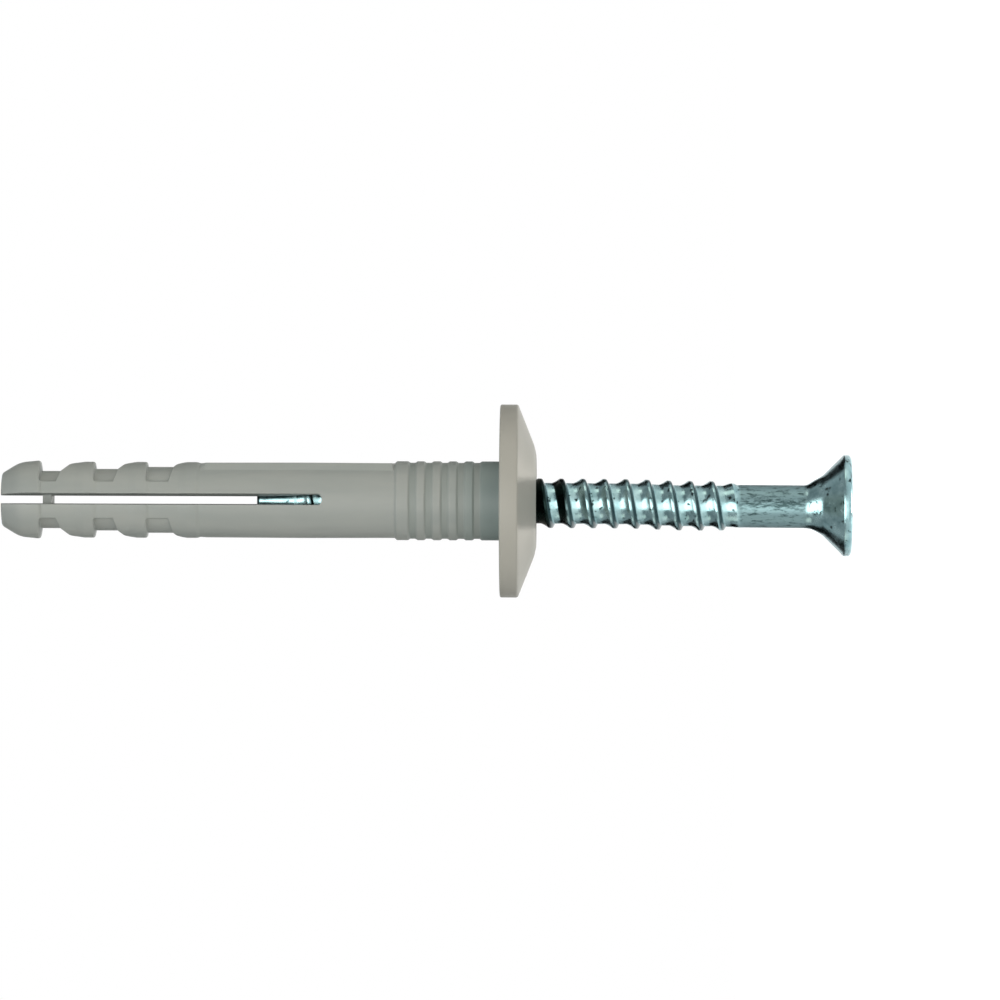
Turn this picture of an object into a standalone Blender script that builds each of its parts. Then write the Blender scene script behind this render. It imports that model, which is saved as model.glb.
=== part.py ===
"""Hammer fixing plug, 6 x 40: a barbed nylon sleeve with its screw nail started in it.

Units are metres and +Z is up. The plug stands on the head of its screw: the flat of
the head lies at z = 0, the common axis is Z, and the nose of the sleeve points up.
"""

import math

import bmesh
import bpy
from mathutils import Matrix, Vector

# Screw nail: lengths run up from the flat of the head
SCREW_LENGTH = 0.0477
SHANK_DIAMETER = 0.00344
CORE_DIAMETER = 0.00327
THREAD_DIAMETER = 0.0040
THREAD_PITCH = 0.00172
THREAD_START = 0.00861
THREAD_RUNOUT = 0.0022
POINT_LENGTH = 0.0045
POINT_DIAMETER = 0.0016
POINT_CHAMFER = 0.0002
HEAD_DIAMETER = 0.00806
HEAD_FLAT_DIAMETER = 0.0069
HEAD_EDGE_HEIGHT = 0.00026
HEAD_LAND = 0.00038
THROAT_DIAMETER = 0.0047
THROAT_TAPER = math.radians(28)
THROAT_FILLET = 0.0014

# Thread form as shares of the pitch, read towards the point: a flat root, a steep
# flank that bites, a narrow crest, and the long flank that lets the nail slide in
ROOT_SHARE = 0.38
STEEP_SHARE = 0.08
CREST_SHARE = 0.14

# Cross recess type Z in the head: four arms, and a narrow notch between each two
RECESS_SPAN = 0.0042
RECESS_ARM_WIDTH = 0.00105
RECESS_DEPTH = 0.0022
RECESS_TAPER = math.radians(18)
RECESS_TURN = math.radians(66)
NOTCH_SPAN = 0.0028
NOTCH_WIDTH = 0.0005
NOTCH_TAPER = math.radians(8)

# Fit of the nail in the sleeve
SCREW_DEPTH = 0.02242
SCREW_CLEARANCE = 0.0002
SLEEVE_WALL = 0.0008

# Sleeve: lengths run from the bearing face of the collar, or back from the nose
SLEEVE_LENGTH = 0.0400
BODY_DRAFT = 0.00004
COLLAR_DIAMETER = 0.0155
COLLAR_RIM = 0.00144
COLLAR_HEIGHT = 0.00292
COLLAR_EDGE = 0.00015
SEAT_DIAMETER = 0.0073
SEAT_LIP = 0.00015
SEAT_RING = 0.00038

NECK_LENGTH = 0.00849
NECK_LEAD = 0.00024
NECK_PLATEAU = 0.00143
NECK_RIBS = 5
NECK_PROUD = 0.000175
RIB_HEIGHT = 0.00012

# Rib form as shares of the rib pitch, read from the nose: valley, flank, crest, flank,
# and the valley of the next rib
RIB_FLANK_START = 0.20
RIB_CREST_START = 0.38
RIB_CREST_END = 0.75
RIB_FOOT = 0.92

NOSE_FLAT_DIAMETER = 0.00393
NOSE_CORNER = 0.0002
NOSE_TAPER = math.radians(29.5)
NOSE_SHOULDER = 0.0005
NOSE_LAND = 0.00145
NOSE_LAND_TAPER = math.radians(5.5)
FIRST_BARB = 0.00322

GROOVE_COUNT = 3
BARB_PITCH = 0.00434
BARB_PITCH_STEP = 0.00015
BARB_PROUD = 0.00009
NOSE_PROUD = 0.00019
BARB_EDGE = 0.00025
BARB_LAND = 0.00066
BARB_RISE = 0.0006
BARB_LEAD = 0.0002

# Pockets between the barbs, one pair to a groove, cut in from +X and -X
POCKET_LENGTH = 0.00237
POCKET_RAMP = math.radians(39)
POCKET_FOOT = 0.00035
POCKET_DEPTH = 0.00075
POCKET_DEPTH_STEP = 0.000175
SPINE_WIDTH = 0.00298

SLIT_WIDTH = 0.00062
SLIT_LENGTH = 0.02575
WEB_FROM_NOSE = 0.00338
WEB_LENGTH = 0.0007
WEB_DEPTH = 0.0034
WEB_ROOT = 0.0002
CHANNEL_END_WALL = 0.0006

# How far a cutter starts outside what it cuts
CUT_MARGIN = 0.0003

# Facets
SLEEVE_SIDES = 48
SCREW_SIDES = 36
ARC_STEPS = 4
MERGE_DISTANCE = 1e-7
SHARP_ANGLE = math.radians(28)

# Derived sizes that more than one piece shares
SHANK_RADIUS = SHANK_DIAMETER / 2
CORE_RADIUS = CORE_DIAMETER / 2
POINT_RADIUS = POINT_DIAMETER / 2
THREAD_HEIGHT = (THREAD_DIAMETER - CORE_DIAMETER) / 2
POINT_START = SCREW_LENGTH - POINT_LENGTH

BORE_RADIUS = THREAD_DIAMETER / 2 + SCREW_CLEARANCE
CHANNEL_RADIUS = POINT_RADIUS + SCREW_CLEARANCE
BODY_RADIUS = BORE_RADIUS + SLEEVE_WALL
SPINE_RADIUS = BODY_RADIUS - BODY_DRAFT
NECK_RADIUS = BODY_RADIUS + NECK_PROUD
BARB_RADIUS = SPINE_RADIUS + BARB_PROUD
NOSE_RADIUS = SPINE_RADIUS + NOSE_PROUD
CUT_REACH = COLLAR_DIAMETER / 2

COLLAR_TOP_HEIGHT = SCREW_LENGTH - SCREW_DEPTH
BEARING_FACE_HEIGHT = COLLAR_TOP_HEIGHT + COLLAR_HEIGHT


def clear_scene():
    """Start from nothing, so that the file can be run again and again."""
    for old in list(bpy.data.objects):
        bpy.data.objects.remove(old, do_unlink=True)


def make_material(name, colour, roughness, metallic):
    """One Principled material, with its colour in linear values."""
    material = bpy.data.materials.new(name)
    material.use_nodes = True
    shader = material.node_tree.nodes["Principled BSDF"]
    shader.inputs["Base Color"].default_value = (*colour, 1.0)
    shader.inputs["Roughness"].default_value = roughness
    shader.inputs["Metallic"].default_value = metallic
    return material


def object_from(bm, name):
    """Turn a bmesh into an object in the scene, faces outwards."""
    bmesh.ops.recalc_face_normals(bm, faces=bm.faces)
    mesh = bpy.data.meshes.new(name)
    bm.to_mesh(mesh)
    bm.free()
    made = bpy.data.objects.new(name, mesh)
    bpy.context.collection.objects.link(made)
    return made


def arc(centre_radius, centre_height, size, start, end, steps=ARC_STEPS):
    """Points of a round corner in an outline, angles measured from outwards to upwards."""
    points = []
    for step in range(steps + 1):
        angle = start + (end - start) * step / steps
        radius = centre_radius + size * math.cos(angle)
        points.append((radius, centre_height + size * math.sin(angle)))
    return points


def turned(name, outline, sides):
    """Spin an outline of (radius, height) points round Z. Its ends lie on the axis."""
    bm = bmesh.new()
    verts = [bm.verts.new((radius, 0, height)) for radius, height in outline]
    edges = [bm.edges.new(pair) for pair in zip(verts, verts[1:])]
    bmesh.ops.spin(
        bm,
        geom=verts + edges,
        cent=(0, 0, 0),
        axis=(0, 0, 1),
        angle=2 * math.pi,
        steps=sides,
        use_merge=True,
    )
    bmesh.ops.remove_doubles(bm, verts=bm.verts, dist=MERGE_DISTANCE)
    return object_from(bm, name)


def extruded(name, outlines, direction):
    """Closed prisms: each outline is filled and pushed along the direction."""
    bm = bmesh.new()
    for outline in outlines:
        face = bm.faces.new([bm.verts.new(point) for point in outline])
        pushed = bmesh.ops.extrude_face_region(bm, geom=[face], use_keep_orig=True)
        moved = [item for item in pushed["geom"] if isinstance(item, bmesh.types.BMVert)]
        bmesh.ops.translate(bm, verts=moved, vec=direction)
    return object_from(bm, name)


def combine(target, tool, operation):
    """Join a tool to the target or cut it away, then put the tool aside."""
    step = target.modifiers.new(tool.name, "BOOLEAN")
    step.operation = operation
    step.solver = "EXACT"
    step.object = tool
    depsgraph = bpy.context.evaluated_depsgraph_get()
    mesh = bpy.data.meshes.new_from_object(target.evaluated_get(depsgraph))
    target.modifiers.clear()
    target.data = mesh
    mesh.name = target.name
    bpy.data.objects.remove(tool, do_unlink=True)


def finish(piece, material, parent, height):
    """Shade the piece, give it its material and set it at its height on the axis."""
    piece.data.shade_smooth()
    piece.data.set_sharp_from_angle(angle=SHARP_ANGLE)
    piece.data.materials.clear()
    piece.data.materials.append(material)
    piece.parent = parent
    piece.location = (0, 0, height)


# Screw nail

def ease(share):
    """A smooth step from 0 to 1, flat at both ends."""
    share = min(max(share, 0.0), 1.0)
    return share * share * (3 - 2 * share)


def stem_radius(height):
    """The nail without its thread: shank, slightly thinner core, then the tapered point."""
    if height > POINT_START:
        share = (height - POINT_START) / POINT_LENGTH
        return CORE_RADIUS + (POINT_RADIUS - CORE_RADIUS) * share
    share = ease((height - THREAD_START) / THREAD_RUNOUT)
    return SHANK_RADIUS + (CORE_RADIUS - SHANK_RADIUS) * share


def head_outline():
    """From the flat of the head, over its edge and land, up the 90 degree cone and its throat."""
    head_radius = HEAD_DIAMETER / 2
    flat_radius = HEAD_FLAT_DIAMETER / 2
    edge_width = head_radius - flat_radius
    outline = []
    for step in range(ARC_STEPS + 1):
        angle = math.pi / 2 * step / ARC_STEPS
        radius = flat_radius + edge_width * math.sin(angle)
        outline.append((radius, HEAD_EDGE_HEIGHT * (1 - math.cos(angle))))
    cone_start = HEAD_EDGE_HEIGHT + HEAD_LAND
    outline.append((head_radius, cone_start))
    throat_radius = THROAT_DIAMETER / 2
    throat_height = cone_start + head_radius - throat_radius
    outline.append((throat_radius, throat_height))
    # The fillet touches the throat's cone and the shank along its length
    drop = 1 - math.cos(THROAT_TAPER)
    fillet = min(THROAT_FILLET, (throat_radius - SHANK_RADIUS) / drop * 0.9)
    fillet_foot_radius = SHANK_RADIUS + fillet * drop
    fillet_foot = throat_height + (throat_radius - fillet_foot_radius) / math.tan(THROAT_TAPER)
    fillet_top = fillet_foot + fillet * math.sin(THROAT_TAPER)
    outline += arc(SHANK_RADIUS + fillet, fillet_top, fillet, math.pi + THROAT_TAPER, math.pi, 3)
    return outline


def add_ring(bm, radius, height):
    """One ring of vertices round the axis."""
    ring = []
    for side in range(SCREW_SIDES):
        angle = 2 * math.pi * side / SCREW_SIDES
        ring.append(bm.verts.new((radius * math.cos(angle), radius * math.sin(angle), height)))
    return ring


def add_band(bm, low, high):
    """Quads between two rings."""
    for side in range(SCREW_SIDES):
        after = (side + 1) % SCREW_SIDES
        bm.faces.new((low[side], low[after], high[after], high[side]))


def thread_rows():
    """Rows of the thread as (turns from its foot, lift from root to crest)."""
    form = [(0.0, 0.0), (ROOT_SHARE, 0.0)]
    form.append((ROOT_SHARE + STEEP_SHARE, 1.0))
    form.append((ROOT_SHARE + STEEP_SHARE + CREST_SHARE, 1.0))
    thread_foot = THREAD_START - THREAD_PITCH
    turns = math.floor((SCREW_LENGTH - POINT_CHAMFER - thread_foot) / THREAD_PITCH - 1.05)
    rows = [(turn + place, lift) for turn in range(turns) for place, lift in form]
    rows.append((float(turns), 0.0))
    return rows, len(form), thread_foot, turns


def add_thread(bm, shank_ring, point_ring):
    """A single-start right-hand thread, closed at each end onto a plain ring.

    Each column of vertices climbs the nail at one angle. A row is a helix: it joins
    the last column to the first one a whole turn higher, so the ends are staircases.
    """
    rows, turn_rows, thread_foot, turns = thread_rows()
    thread_end = thread_foot + THREAD_PITCH * (turns - 1 / SCREW_SIDES)
    fade_start = min(POINT_START, thread_end - THREAD_PITCH / 2)
    columns = []
    for side in range(SCREW_SIDES):
        angle = 2 * math.pi * side / SCREW_SIDES
        column = []
        for place, lift in rows:
            height = thread_foot + THREAD_PITCH * (side / SCREW_SIDES + place)
            rise = ease((height - THREAD_START) / THREAD_RUNOUT)
            fall = min(max((thread_end - height) / (thread_end - fade_start), 0.0), 1.0)
            radius = stem_radius(height) + THREAD_HEIGHT * lift * min(rise, fall)
            column.append(bm.verts.new((radius * math.cos(angle), radius * math.sin(angle), height)))
        columns.append(column)
    for low, high in zip(columns, columns[1:]):
        for row in range(len(rows) - 1):
            bm.faces.new((low[row], high[row], high[row + 1], low[row + 1]))
    first = columns[0]
    last = columns[-1]
    for row in range(len(rows) - 1 - turn_rows):
        bm.faces.new((last[row], first[row + turn_rows], first[row + turn_rows + 1], last[row + 1]))
    for side in range(SCREW_SIDES - 1):
        bm.faces.new((shank_ring[side], shank_ring[side + 1], columns[side + 1][0], columns[side][0]))
        bm.faces.new((columns[side][-1], columns[side + 1][-1], point_ring[side + 1], point_ring[side]))
    bm.faces.new([shank_ring[-1], shank_ring[0]] + first[: turn_rows + 1] + [last[0]])
    top_corners = [last[-1 - turn_rows], first[-1], point_ring[0], point_ring[-1]]
    bm.faces.new(top_corners + last[: -1 - turn_rows : -1])


def recess_outline(depth):
    """The type Z cross at a depth below the flat of the head, drawn in by its tapers."""
    reach = RECESS_SPAN / 2 - depth * math.tan(RECESS_TAPER)
    notch_reach = NOTCH_SPAN / 2 - depth * math.tan(NOTCH_TAPER)
    half_arm = RECESS_ARM_WIDTH / 2
    half_notch = NOTCH_WIDTH / 2
    # A notch runs out at 45 degrees from the corner between two arms
    notch_mouth = half_arm + half_notch * math.sqrt(2)
    near_side = (notch_reach - half_notch) / math.sqrt(2)
    far_side = (notch_reach + half_notch) / math.sqrt(2)
    corners = [(reach, -half_arm), (reach, half_arm), (notch_mouth, half_arm)]
    corners += [(far_side, near_side), (near_side, far_side), (half_arm, notch_mouth)]
    points = []
    for arm in range(4):
        turn = Matrix.Rotation(arm * math.pi / 2 + RECESS_TURN, 2)
        points += [turn @ Vector(corner) for corner in corners]
    return points


def make_recess_cutter():
    """The cross recess as a tapered plug that starts below the flat of the head."""
    bm = bmesh.new()
    low = [bm.verts.new((*point, -CUT_MARGIN)) for point in recess_outline(-CUT_MARGIN)]
    high = [bm.verts.new((*point, RECESS_DEPTH)) for point in recess_outline(RECESS_DEPTH)]
    count = len(low)
    for index in range(count):
        after = (index + 1) % count
        bm.faces.new((low[index], low[after], high[after], high[index]))
    bm.faces.new(low[::-1])
    bm.faces.new(high)
    return object_from(bm, "recess_cutter")


def make_nail_screw():
    """Countersunk head, shank, buttress thread and blunt point in one skin."""
    bm = bmesh.new()
    rings = [add_ring(bm, radius, height) for radius, height in head_outline()]
    for low, high in zip(rings, rings[1:]):
        add_band(bm, low, high)
    bm.faces.new(rings[0][::-1])
    chamfer_start = SCREW_LENGTH - POINT_CHAMFER
    point_ring = add_ring(bm, stem_radius(chamfer_start), chamfer_start)
    tip_ring = add_ring(bm, POINT_RADIUS - POINT_CHAMFER, SCREW_LENGTH)
    add_thread(bm, rings[-1], point_ring)
    add_band(bm, point_ring, tip_ring)
    bm.faces.new(tip_ring)
    screw = object_from(bm, "nail_screw")
    combine(screw, make_recess_cutter(), "DIFFERENCE")
    return screw


# Plug sleeve

def nose_outline():
    """From the axis at the nose, over its corner, cone and shoulder, to the first barb's back."""
    flat = NOSE_FLAT_DIAMETER / 2
    tip = SLEEVE_LENGTH
    back = barb_back(0)
    outline = [(0.0, tip)]
    # The cone's outward side looks up by its own half angle
    outline += arc(flat, tip - NOSE_CORNER, NOSE_CORNER, math.pi / 2, NOSE_TAPER)
    cone_top_radius, cone_top = outline[-1]
    land_radius = NOSE_RADIUS - NOSE_LAND * math.tan(NOSE_LAND_TAPER)
    shoulder = back + NOSE_LAND + NOSE_SHOULDER
    cone_radius = cone_top_radius + (cone_top - shoulder) * math.tan(NOSE_TAPER)
    outline.append((min(cone_radius, land_radius), shoulder))
    outline.append((land_radius, back + NOSE_LAND))
    return outline + barb_edge(NOSE_RADIUS, back)


def barb_edge(radius, back):
    """The back edge of a barb, rounded off from its crest down to the spine."""
    proud = radius - SPINE_RADIUS
    half = math.radians(45)
    outline = [(radius, back + BARB_EDGE)]
    outline.append((SPINE_RADIUS + proud * math.cos(half), back + BARB_EDGE * (1 - math.sin(half))))
    outline.append((SPINE_RADIUS, back))
    return outline


def barb_back(index):
    """Height of the back edge of a barb. Barb 0 is the nose, and each step is a little shorter."""
    shortened = BARB_PITCH_STEP * index * (index - 1) / 2
    return SLEEVE_LENGTH - FIRST_BARB - index * BARB_PITCH + shortened


def barb_outline(index):
    """The end of the body before a barb, the barb's low swell and its back edge."""
    back = barb_back(index)
    outline = [(SPINE_RADIUS, back + BARB_LAND + BARB_RISE)]
    outline.append((BARB_RADIUS, back + BARB_LAND))
    return outline + barb_edge(BARB_RADIUS, back)


def neck_outline():
    """The ribbed neck that wedges in the mouth of the hole, down to the bearing face."""
    valley = NECK_RADIUS - RIB_HEIGHT
    # The first crest has no valley before it: it rises straight from the body
    first = NECK_LENGTH - NECK_LEAD / 2
    pitch = (first - NECK_PLATEAU) / (NECK_RIBS + RIB_CREST_START)
    outline = [(BODY_RADIUS, NECK_LENGTH), (NECK_RADIUS, NECK_LENGTH - NECK_LEAD)]
    for rib in range(NECK_RIBS):
        outline.append((NECK_RADIUS, first - pitch * (rib + RIB_CREST_END)))
        outline.append((valley, first - pitch * (rib + RIB_FOOT)))
        outline.append((valley, first - pitch * (rib + 1 + RIB_FLANK_START)))
        outline.append((NECK_RADIUS, first - pitch * (rib + 1 + RIB_CREST_START)))
    outline.append((NECK_RADIUS, 0.0))
    return outline


def collar_outline():
    """The collar: flat bearing face, rim, shallow cone, and the flat ring round the seat."""
    rim_radius = COLLAR_DIAMETER / 2 - COLLAR_EDGE
    seat_radius = SEAT_DIAMETER / 2
    ring_radius = seat_radius + SEAT_RING - COLLAR_EDGE
    top = -COLLAR_HEIGHT
    slope = math.atan2(COLLAR_HEIGHT - COLLAR_RIM, rim_radius - ring_radius)
    cone_side = slope - math.pi / 2
    seat_side = -math.pi * 3 / 4
    outline = arc(rim_radius, -COLLAR_EDGE, COLLAR_EDGE, math.pi / 2, 0.0, 2)
    outline += arc(rim_radius, COLLAR_EDGE - COLLAR_RIM, COLLAR_EDGE, 0.0, cone_side, 2)
    outline += arc(ring_radius, top + COLLAR_EDGE, COLLAR_EDGE, cone_side, -math.pi / 2, 2)
    outline += arc(seat_radius + SEAT_LIP, top + SEAT_LIP, SEAT_LIP, -math.pi / 2, seat_side, 2)
    return outline


def bore_outline(lip_radius, lip_height):
    """From the lip up the 45 degree seat and the bore, then in round the nail's point."""
    screw_point = SCREW_LENGTH - BEARING_FACE_HEIGHT
    seat_foot = lip_height + lip_radius - BORE_RADIUS
    channel_end = SLEEVE_LENGTH - WEB_FROM_NOSE - WEB_LENGTH - CHANNEL_END_WALL
    outline = [(BORE_RADIUS, seat_foot)]
    outline.append((BORE_RADIUS, screw_point - POINT_LENGTH))
    outline.append((CHANNEL_RADIUS, screw_point + SCREW_CLEARANCE))
    outline.append((CHANNEL_RADIUS, channel_end - CHANNEL_RADIUS))
    outline.append((0.0, channel_end))
    return outline


def pocket_floor(index):
    """Radius of a pocket's floor. Each pair of pockets is a little shallower than the last."""
    return BARB_RADIUS - POCKET_DEPTH + index * POCKET_DEPTH_STEP


def pocket_outline(index):
    """One pocket across (X, height): back of the barb, floor, ramp and lead of the next."""
    side_wall = SPINE_WIDTH / 2
    floor = pocket_floor(index)
    back = barb_back(index)
    shoulder = BARB_RADIUS - BARB_LEAD
    land = barb_back(index + 1) + BARB_LAND
    ramp_end = back - POCKET_LENGTH
    ramp_start = ramp_end + (shoulder - floor) / math.tan(POCKET_RAMP)
    outline = [(side_wall, back), (CUT_REACH, back), (CUT_REACH, land)]
    outline.append((BARB_RADIUS + CUT_MARGIN / 10, land))
    outline.append((shoulder, ramp_end))
    outline.append((floor, ramp_start))
    outline.append((side_wall, ramp_start + POCKET_FOOT))
    return outline


def make_pocket_floors():
    """A stepped spindle as thick as the sleeve is left under each pair of pockets."""
    outline = [(0.0, barb_back(0) + CUT_MARGIN)]
    for index in range(GROOVE_COUNT):
        top = barb_back(index) + CUT_MARGIN
        bottom = barb_back(index + 1) + CUT_MARGIN
        outline += [(pocket_floor(index), top), (pocket_floor(index), bottom)]
    outline.append((0.0, barb_back(GROOVE_COUNT) + CUT_MARGIN))
    return turned("pocket_floors", outline, SLEEVE_SIDES)


def make_pocket_cutter():
    """The pockets of both sides. What stays between them is a spine along each slit."""
    outlines = []
    for index in range(GROOVE_COUNT):
        for side in (1, -1):
            outline = [(across * side, -CUT_REACH, height) for across, height in pocket_outline(index)]
            outlines.append(outline)
    cutter = extruded("pocket_cutter", outlines, (0, 2 * CUT_REACH, 0))
    combine(cutter, make_pocket_floors(), "DIFFERENCE")
    return cutter


def make_slit_cutter():
    """A flat slot through the sleeve from its nose, with a round end."""
    half = SLIT_WIDTH / 2
    start = SLEEVE_LENGTH + CUT_MARGIN
    round_height = SLEEVE_LENGTH - SLIT_LENGTH + half
    outline = [(half, start), (-half, start)]
    outline += arc(0.0, round_height, half, math.pi, 2 * math.pi)
    points = [(across, -CUT_REACH, height) for across, height in outline]
    return extruded("slit_cutter", [points], (0, 2 * CUT_REACH, 0))


def make_web():
    """The thin web that holds the two legs together until the nail parts them."""
    high = SLEEVE_LENGTH - WEB_FROM_NOSE
    across = SLIT_WIDTH / 2 + WEB_ROOT
    deep = WEB_DEPTH / 2
    corners = [(-across, -deep), (across, -deep), (across, deep), (-across, deep)]
    points = [(*corner, high) for corner in corners]
    return extruded("web", [points], (0, 0, -WEB_LENGTH))


def make_plug_sleeve():
    """The moulded sleeve: a turned outline, then its pockets, its slit and its web."""
    outline = nose_outline()
    for index in range(GROOVE_COUNT):
        outline += barb_outline(index + 1)
    outline += neck_outline()
    outline += collar_outline()
    outline += bore_outline(*outline[-1])
    sleeve = turned("plug_sleeve", outline, SLEEVE_SIDES)
    combine(sleeve, make_pocket_cutter(), "DIFFERENCE")
    combine(sleeve, make_slit_cutter(), "DIFFERENCE")
    combine(sleeve, make_web(), "UNION")
    return sleeve


def build():
    clear_scene()
    plug = bpy.data.objects.new("hammer_fixing_plug", None)
    bpy.context.collection.objects.link(plug)
    grey_nylon = make_material("grey_nylon", (0.33, 0.34, 0.31), 0.42, 0.0)
    zinc_plate = make_material("zinc_plated_steel", (0.55, 0.60, 0.61), 0.28, 1.0)
    finish(make_nail_screw(), zinc_plate, plug, 0.0)
    finish(make_plug_sleeve(), grey_nylon, plug, BEARING_FACE_HEIGHT)


build()
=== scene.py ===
# %% [markdown]
# # Hammer fixing plug, 6 x 40
#
# The object is a grey nylon sleeve with a wide collar, four barbs and a slit, and a zinc-plated screw
# nail that is started in it. A hammer drives the nail home, the nail spreads the sleeve, and the cross
# recess in its head lets a screwdriver take it out again.
#
# The CAD model gives the frame: every size below is in its metres, with the plug standing on the head
# of its nail and its axis on Z. This script makes a finer skin for both pieces, gives them their
# materials and photographs them on a plain pale ground.

# %% Load the frame
import math

import bmesh
import bpy
from mathutils import Matrix, Vector


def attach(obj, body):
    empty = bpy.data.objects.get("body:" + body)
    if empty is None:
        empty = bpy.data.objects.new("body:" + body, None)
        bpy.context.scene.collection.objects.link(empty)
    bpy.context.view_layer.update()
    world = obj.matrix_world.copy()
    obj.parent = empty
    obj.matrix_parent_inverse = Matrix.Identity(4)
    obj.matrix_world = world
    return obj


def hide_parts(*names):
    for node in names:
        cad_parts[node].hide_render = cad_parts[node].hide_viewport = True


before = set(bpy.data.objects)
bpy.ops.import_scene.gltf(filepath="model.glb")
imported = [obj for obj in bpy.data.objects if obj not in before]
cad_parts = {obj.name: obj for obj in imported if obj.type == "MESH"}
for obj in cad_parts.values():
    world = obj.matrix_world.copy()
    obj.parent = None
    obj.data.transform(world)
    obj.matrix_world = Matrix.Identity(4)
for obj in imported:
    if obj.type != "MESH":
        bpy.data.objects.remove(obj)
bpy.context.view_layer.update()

# %% [markdown]
# ## Camera
#
# The photograph looks square onto the axis from the side where the slit can be seen through, and the
# nose is on its left. So the camera stands on the -Y side and is rolled until +Z points left and +X
# points up. It stood a little towards the nail, which is why the backs of the barbs and the cone of the
# collar both show. A long lens from 0.6 m away gives the same slight perspective.

# %% Place the camera
PIXELS_PER_METRE = 12450
IMAGE_PIXELS = 1000
CAMERA_DISTANCE = 0.60
CAMERA_HEIGHT = 0.0202
MIDDLE_OF_IMAGE = Vector((0.00008, 0.0, 0.028206))
ROLL = 0.0033

camera_data = bpy.data.cameras.new("camera")
camera_data.lens = camera_data.sensor_width * CAMERA_DISTANCE * PIXELS_PER_METRE / IMAGE_PIXELS
camera_data.clip_start = 0.01
camera = bpy.data.objects.new("camera", camera_data)
bpy.context.scene.collection.objects.link(camera)
bpy.context.scene.camera = camera


def aim(thing, place, target, right):
    """Put a camera or a lamp at a place and turn it to a target, with a chosen right-hand side."""
    forward = (Vector(target) - Vector(place)).normalized()
    side = Vector(right)
    side = (side - forward * side.dot(forward)).normalized()
    turn = Matrix((side, side.cross(forward), -forward)).transposed().to_4x4()
    thing.matrix_world = Matrix.Translation(place) @ turn


aim(camera, (0, -CAMERA_DISTANCE, CAMERA_HEIGHT), MIDDLE_OF_IMAGE, (math.sin(ROLL), 0, -math.cos(ROLL)))
print("lens, mm:", round(camera_data.lens, 1))

# %% [markdown]
# ## Colours and nodes
#
# Colours are read off a picture as sRGB hex values, but Blender calculates in linear light. One
# function turns the first into the second. A second one adds a node to any tree, sets its properties
# and fills its sockets: a value is written into the socket, and an output of another node is linked.

# %% Two helpers for colours and node trees
def linear(hex_code):
    """An sRGB hex colour as linear red, green, blue and alpha."""
    values = [int(hex_code[place:place + 2], 16) / 255 for place in (1, 3, 5)]
    light = [v / 12.92 if v <= 0.04045 else ((v + 0.055) / 1.055) ** 2.4 for v in values]
    return (*light, 1.0)


def add_node(tree, kind, settings=None, inputs=None):
    """Add a node with its settings, and give its input sockets values or links."""
    node = tree.nodes.new(kind)
    for name, value in (settings or {}).items():
        setattr(node, name, value)
    for name, value in (inputs or {}).items():
        socket = node.inputs[name]
        if isinstance(value, bpy.types.NodeSocket):
            tree.links.new(value, socket)
        else:
            socket.default_value = value
    return node


print("mid grey #808080 is", round(linear("#808080")[0], 3), "in linear light")

# %% [markdown]
# ## Studio
#
# The photograph was taken in a light tent: soft light from nearly everywhere, on pure white. So the
# world gives three answers. The camera sees plain white. Diffuse light is a cool, even fill. Metal and
# plastic mirror the white backdrop behind the object, and a greyer room in front of it: without that
# difference a bright metal would have no shades at all.
#
# The floor is a white sheet under the head of the nail. It takes the shadow like any matt sheet, and a
# share of its white is its own, so that it joins the background without an edge. Seen from below it
# is clear, so that the recess in the head can be looked at, and light from below passes it.

# %% Make the world
FILL_STRENGTH = 0.21
ROOM_STRENGTH = 0.44

world = bpy.data.worlds.new("white studio")
world.use_nodes = True
bpy.context.scene.world = world
tree = world.node_tree
tree.nodes.clear()
rays = add_node(tree, "ShaderNodeLightPath")
sky = add_node(tree, "ShaderNodeTexCoord")
direction = add_node(tree, "ShaderNodeSeparateXYZ", None, {0: sky.outputs["Generated"]})
behind = add_node(tree, "ShaderNodeMapRange", {"interpolation_type": "SMOOTHSTEP"},
                  {"Value": direction.outputs["Y"], "From Min": 0.1, "From Max": 0.7,
                   "To Min": ROOM_STRENGTH, "To Max": 1.0})
room = add_node(tree, "ShaderNodeBackground", None,
                {"Color": linear("#ffffff"), "Strength": behind.outputs["Result"]})
fill = add_node(tree, "ShaderNodeBackground", None,
                {"Color": linear("#e6f1f4"), "Strength": FILL_STRENGTH})
white = add_node(tree, "ShaderNodeBackground", None, {"Color": linear("#ffffff"), "Strength": 1.0})
mirrored = add_node(tree, "ShaderNodeMath", {"operation": "MAXIMUM"},
                    {0: rays.outputs["Is Glossy Ray"], 1: rays.outputs["Is Transmission Ray"]})
unseen = add_node(tree, "ShaderNodeMixShader", None,
                  {0: mirrored.outputs[0], 1: fill.outputs[0], 2: room.outputs[0]})
both = add_node(tree, "ShaderNodeMixShader", None,
                {0: rays.outputs["Is Camera Ray"], 1: unseen.outputs[0], 2: white.outputs[0]})
add_node(tree, "ShaderNodeOutputWorld", None, {"Surface": both.outputs[0]})
print("world:", len(tree.nodes), "nodes")

# %% Lay the floor
FLOOR_RADIUS = 0.5
FLOOR_DROP = 0.00002

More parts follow.
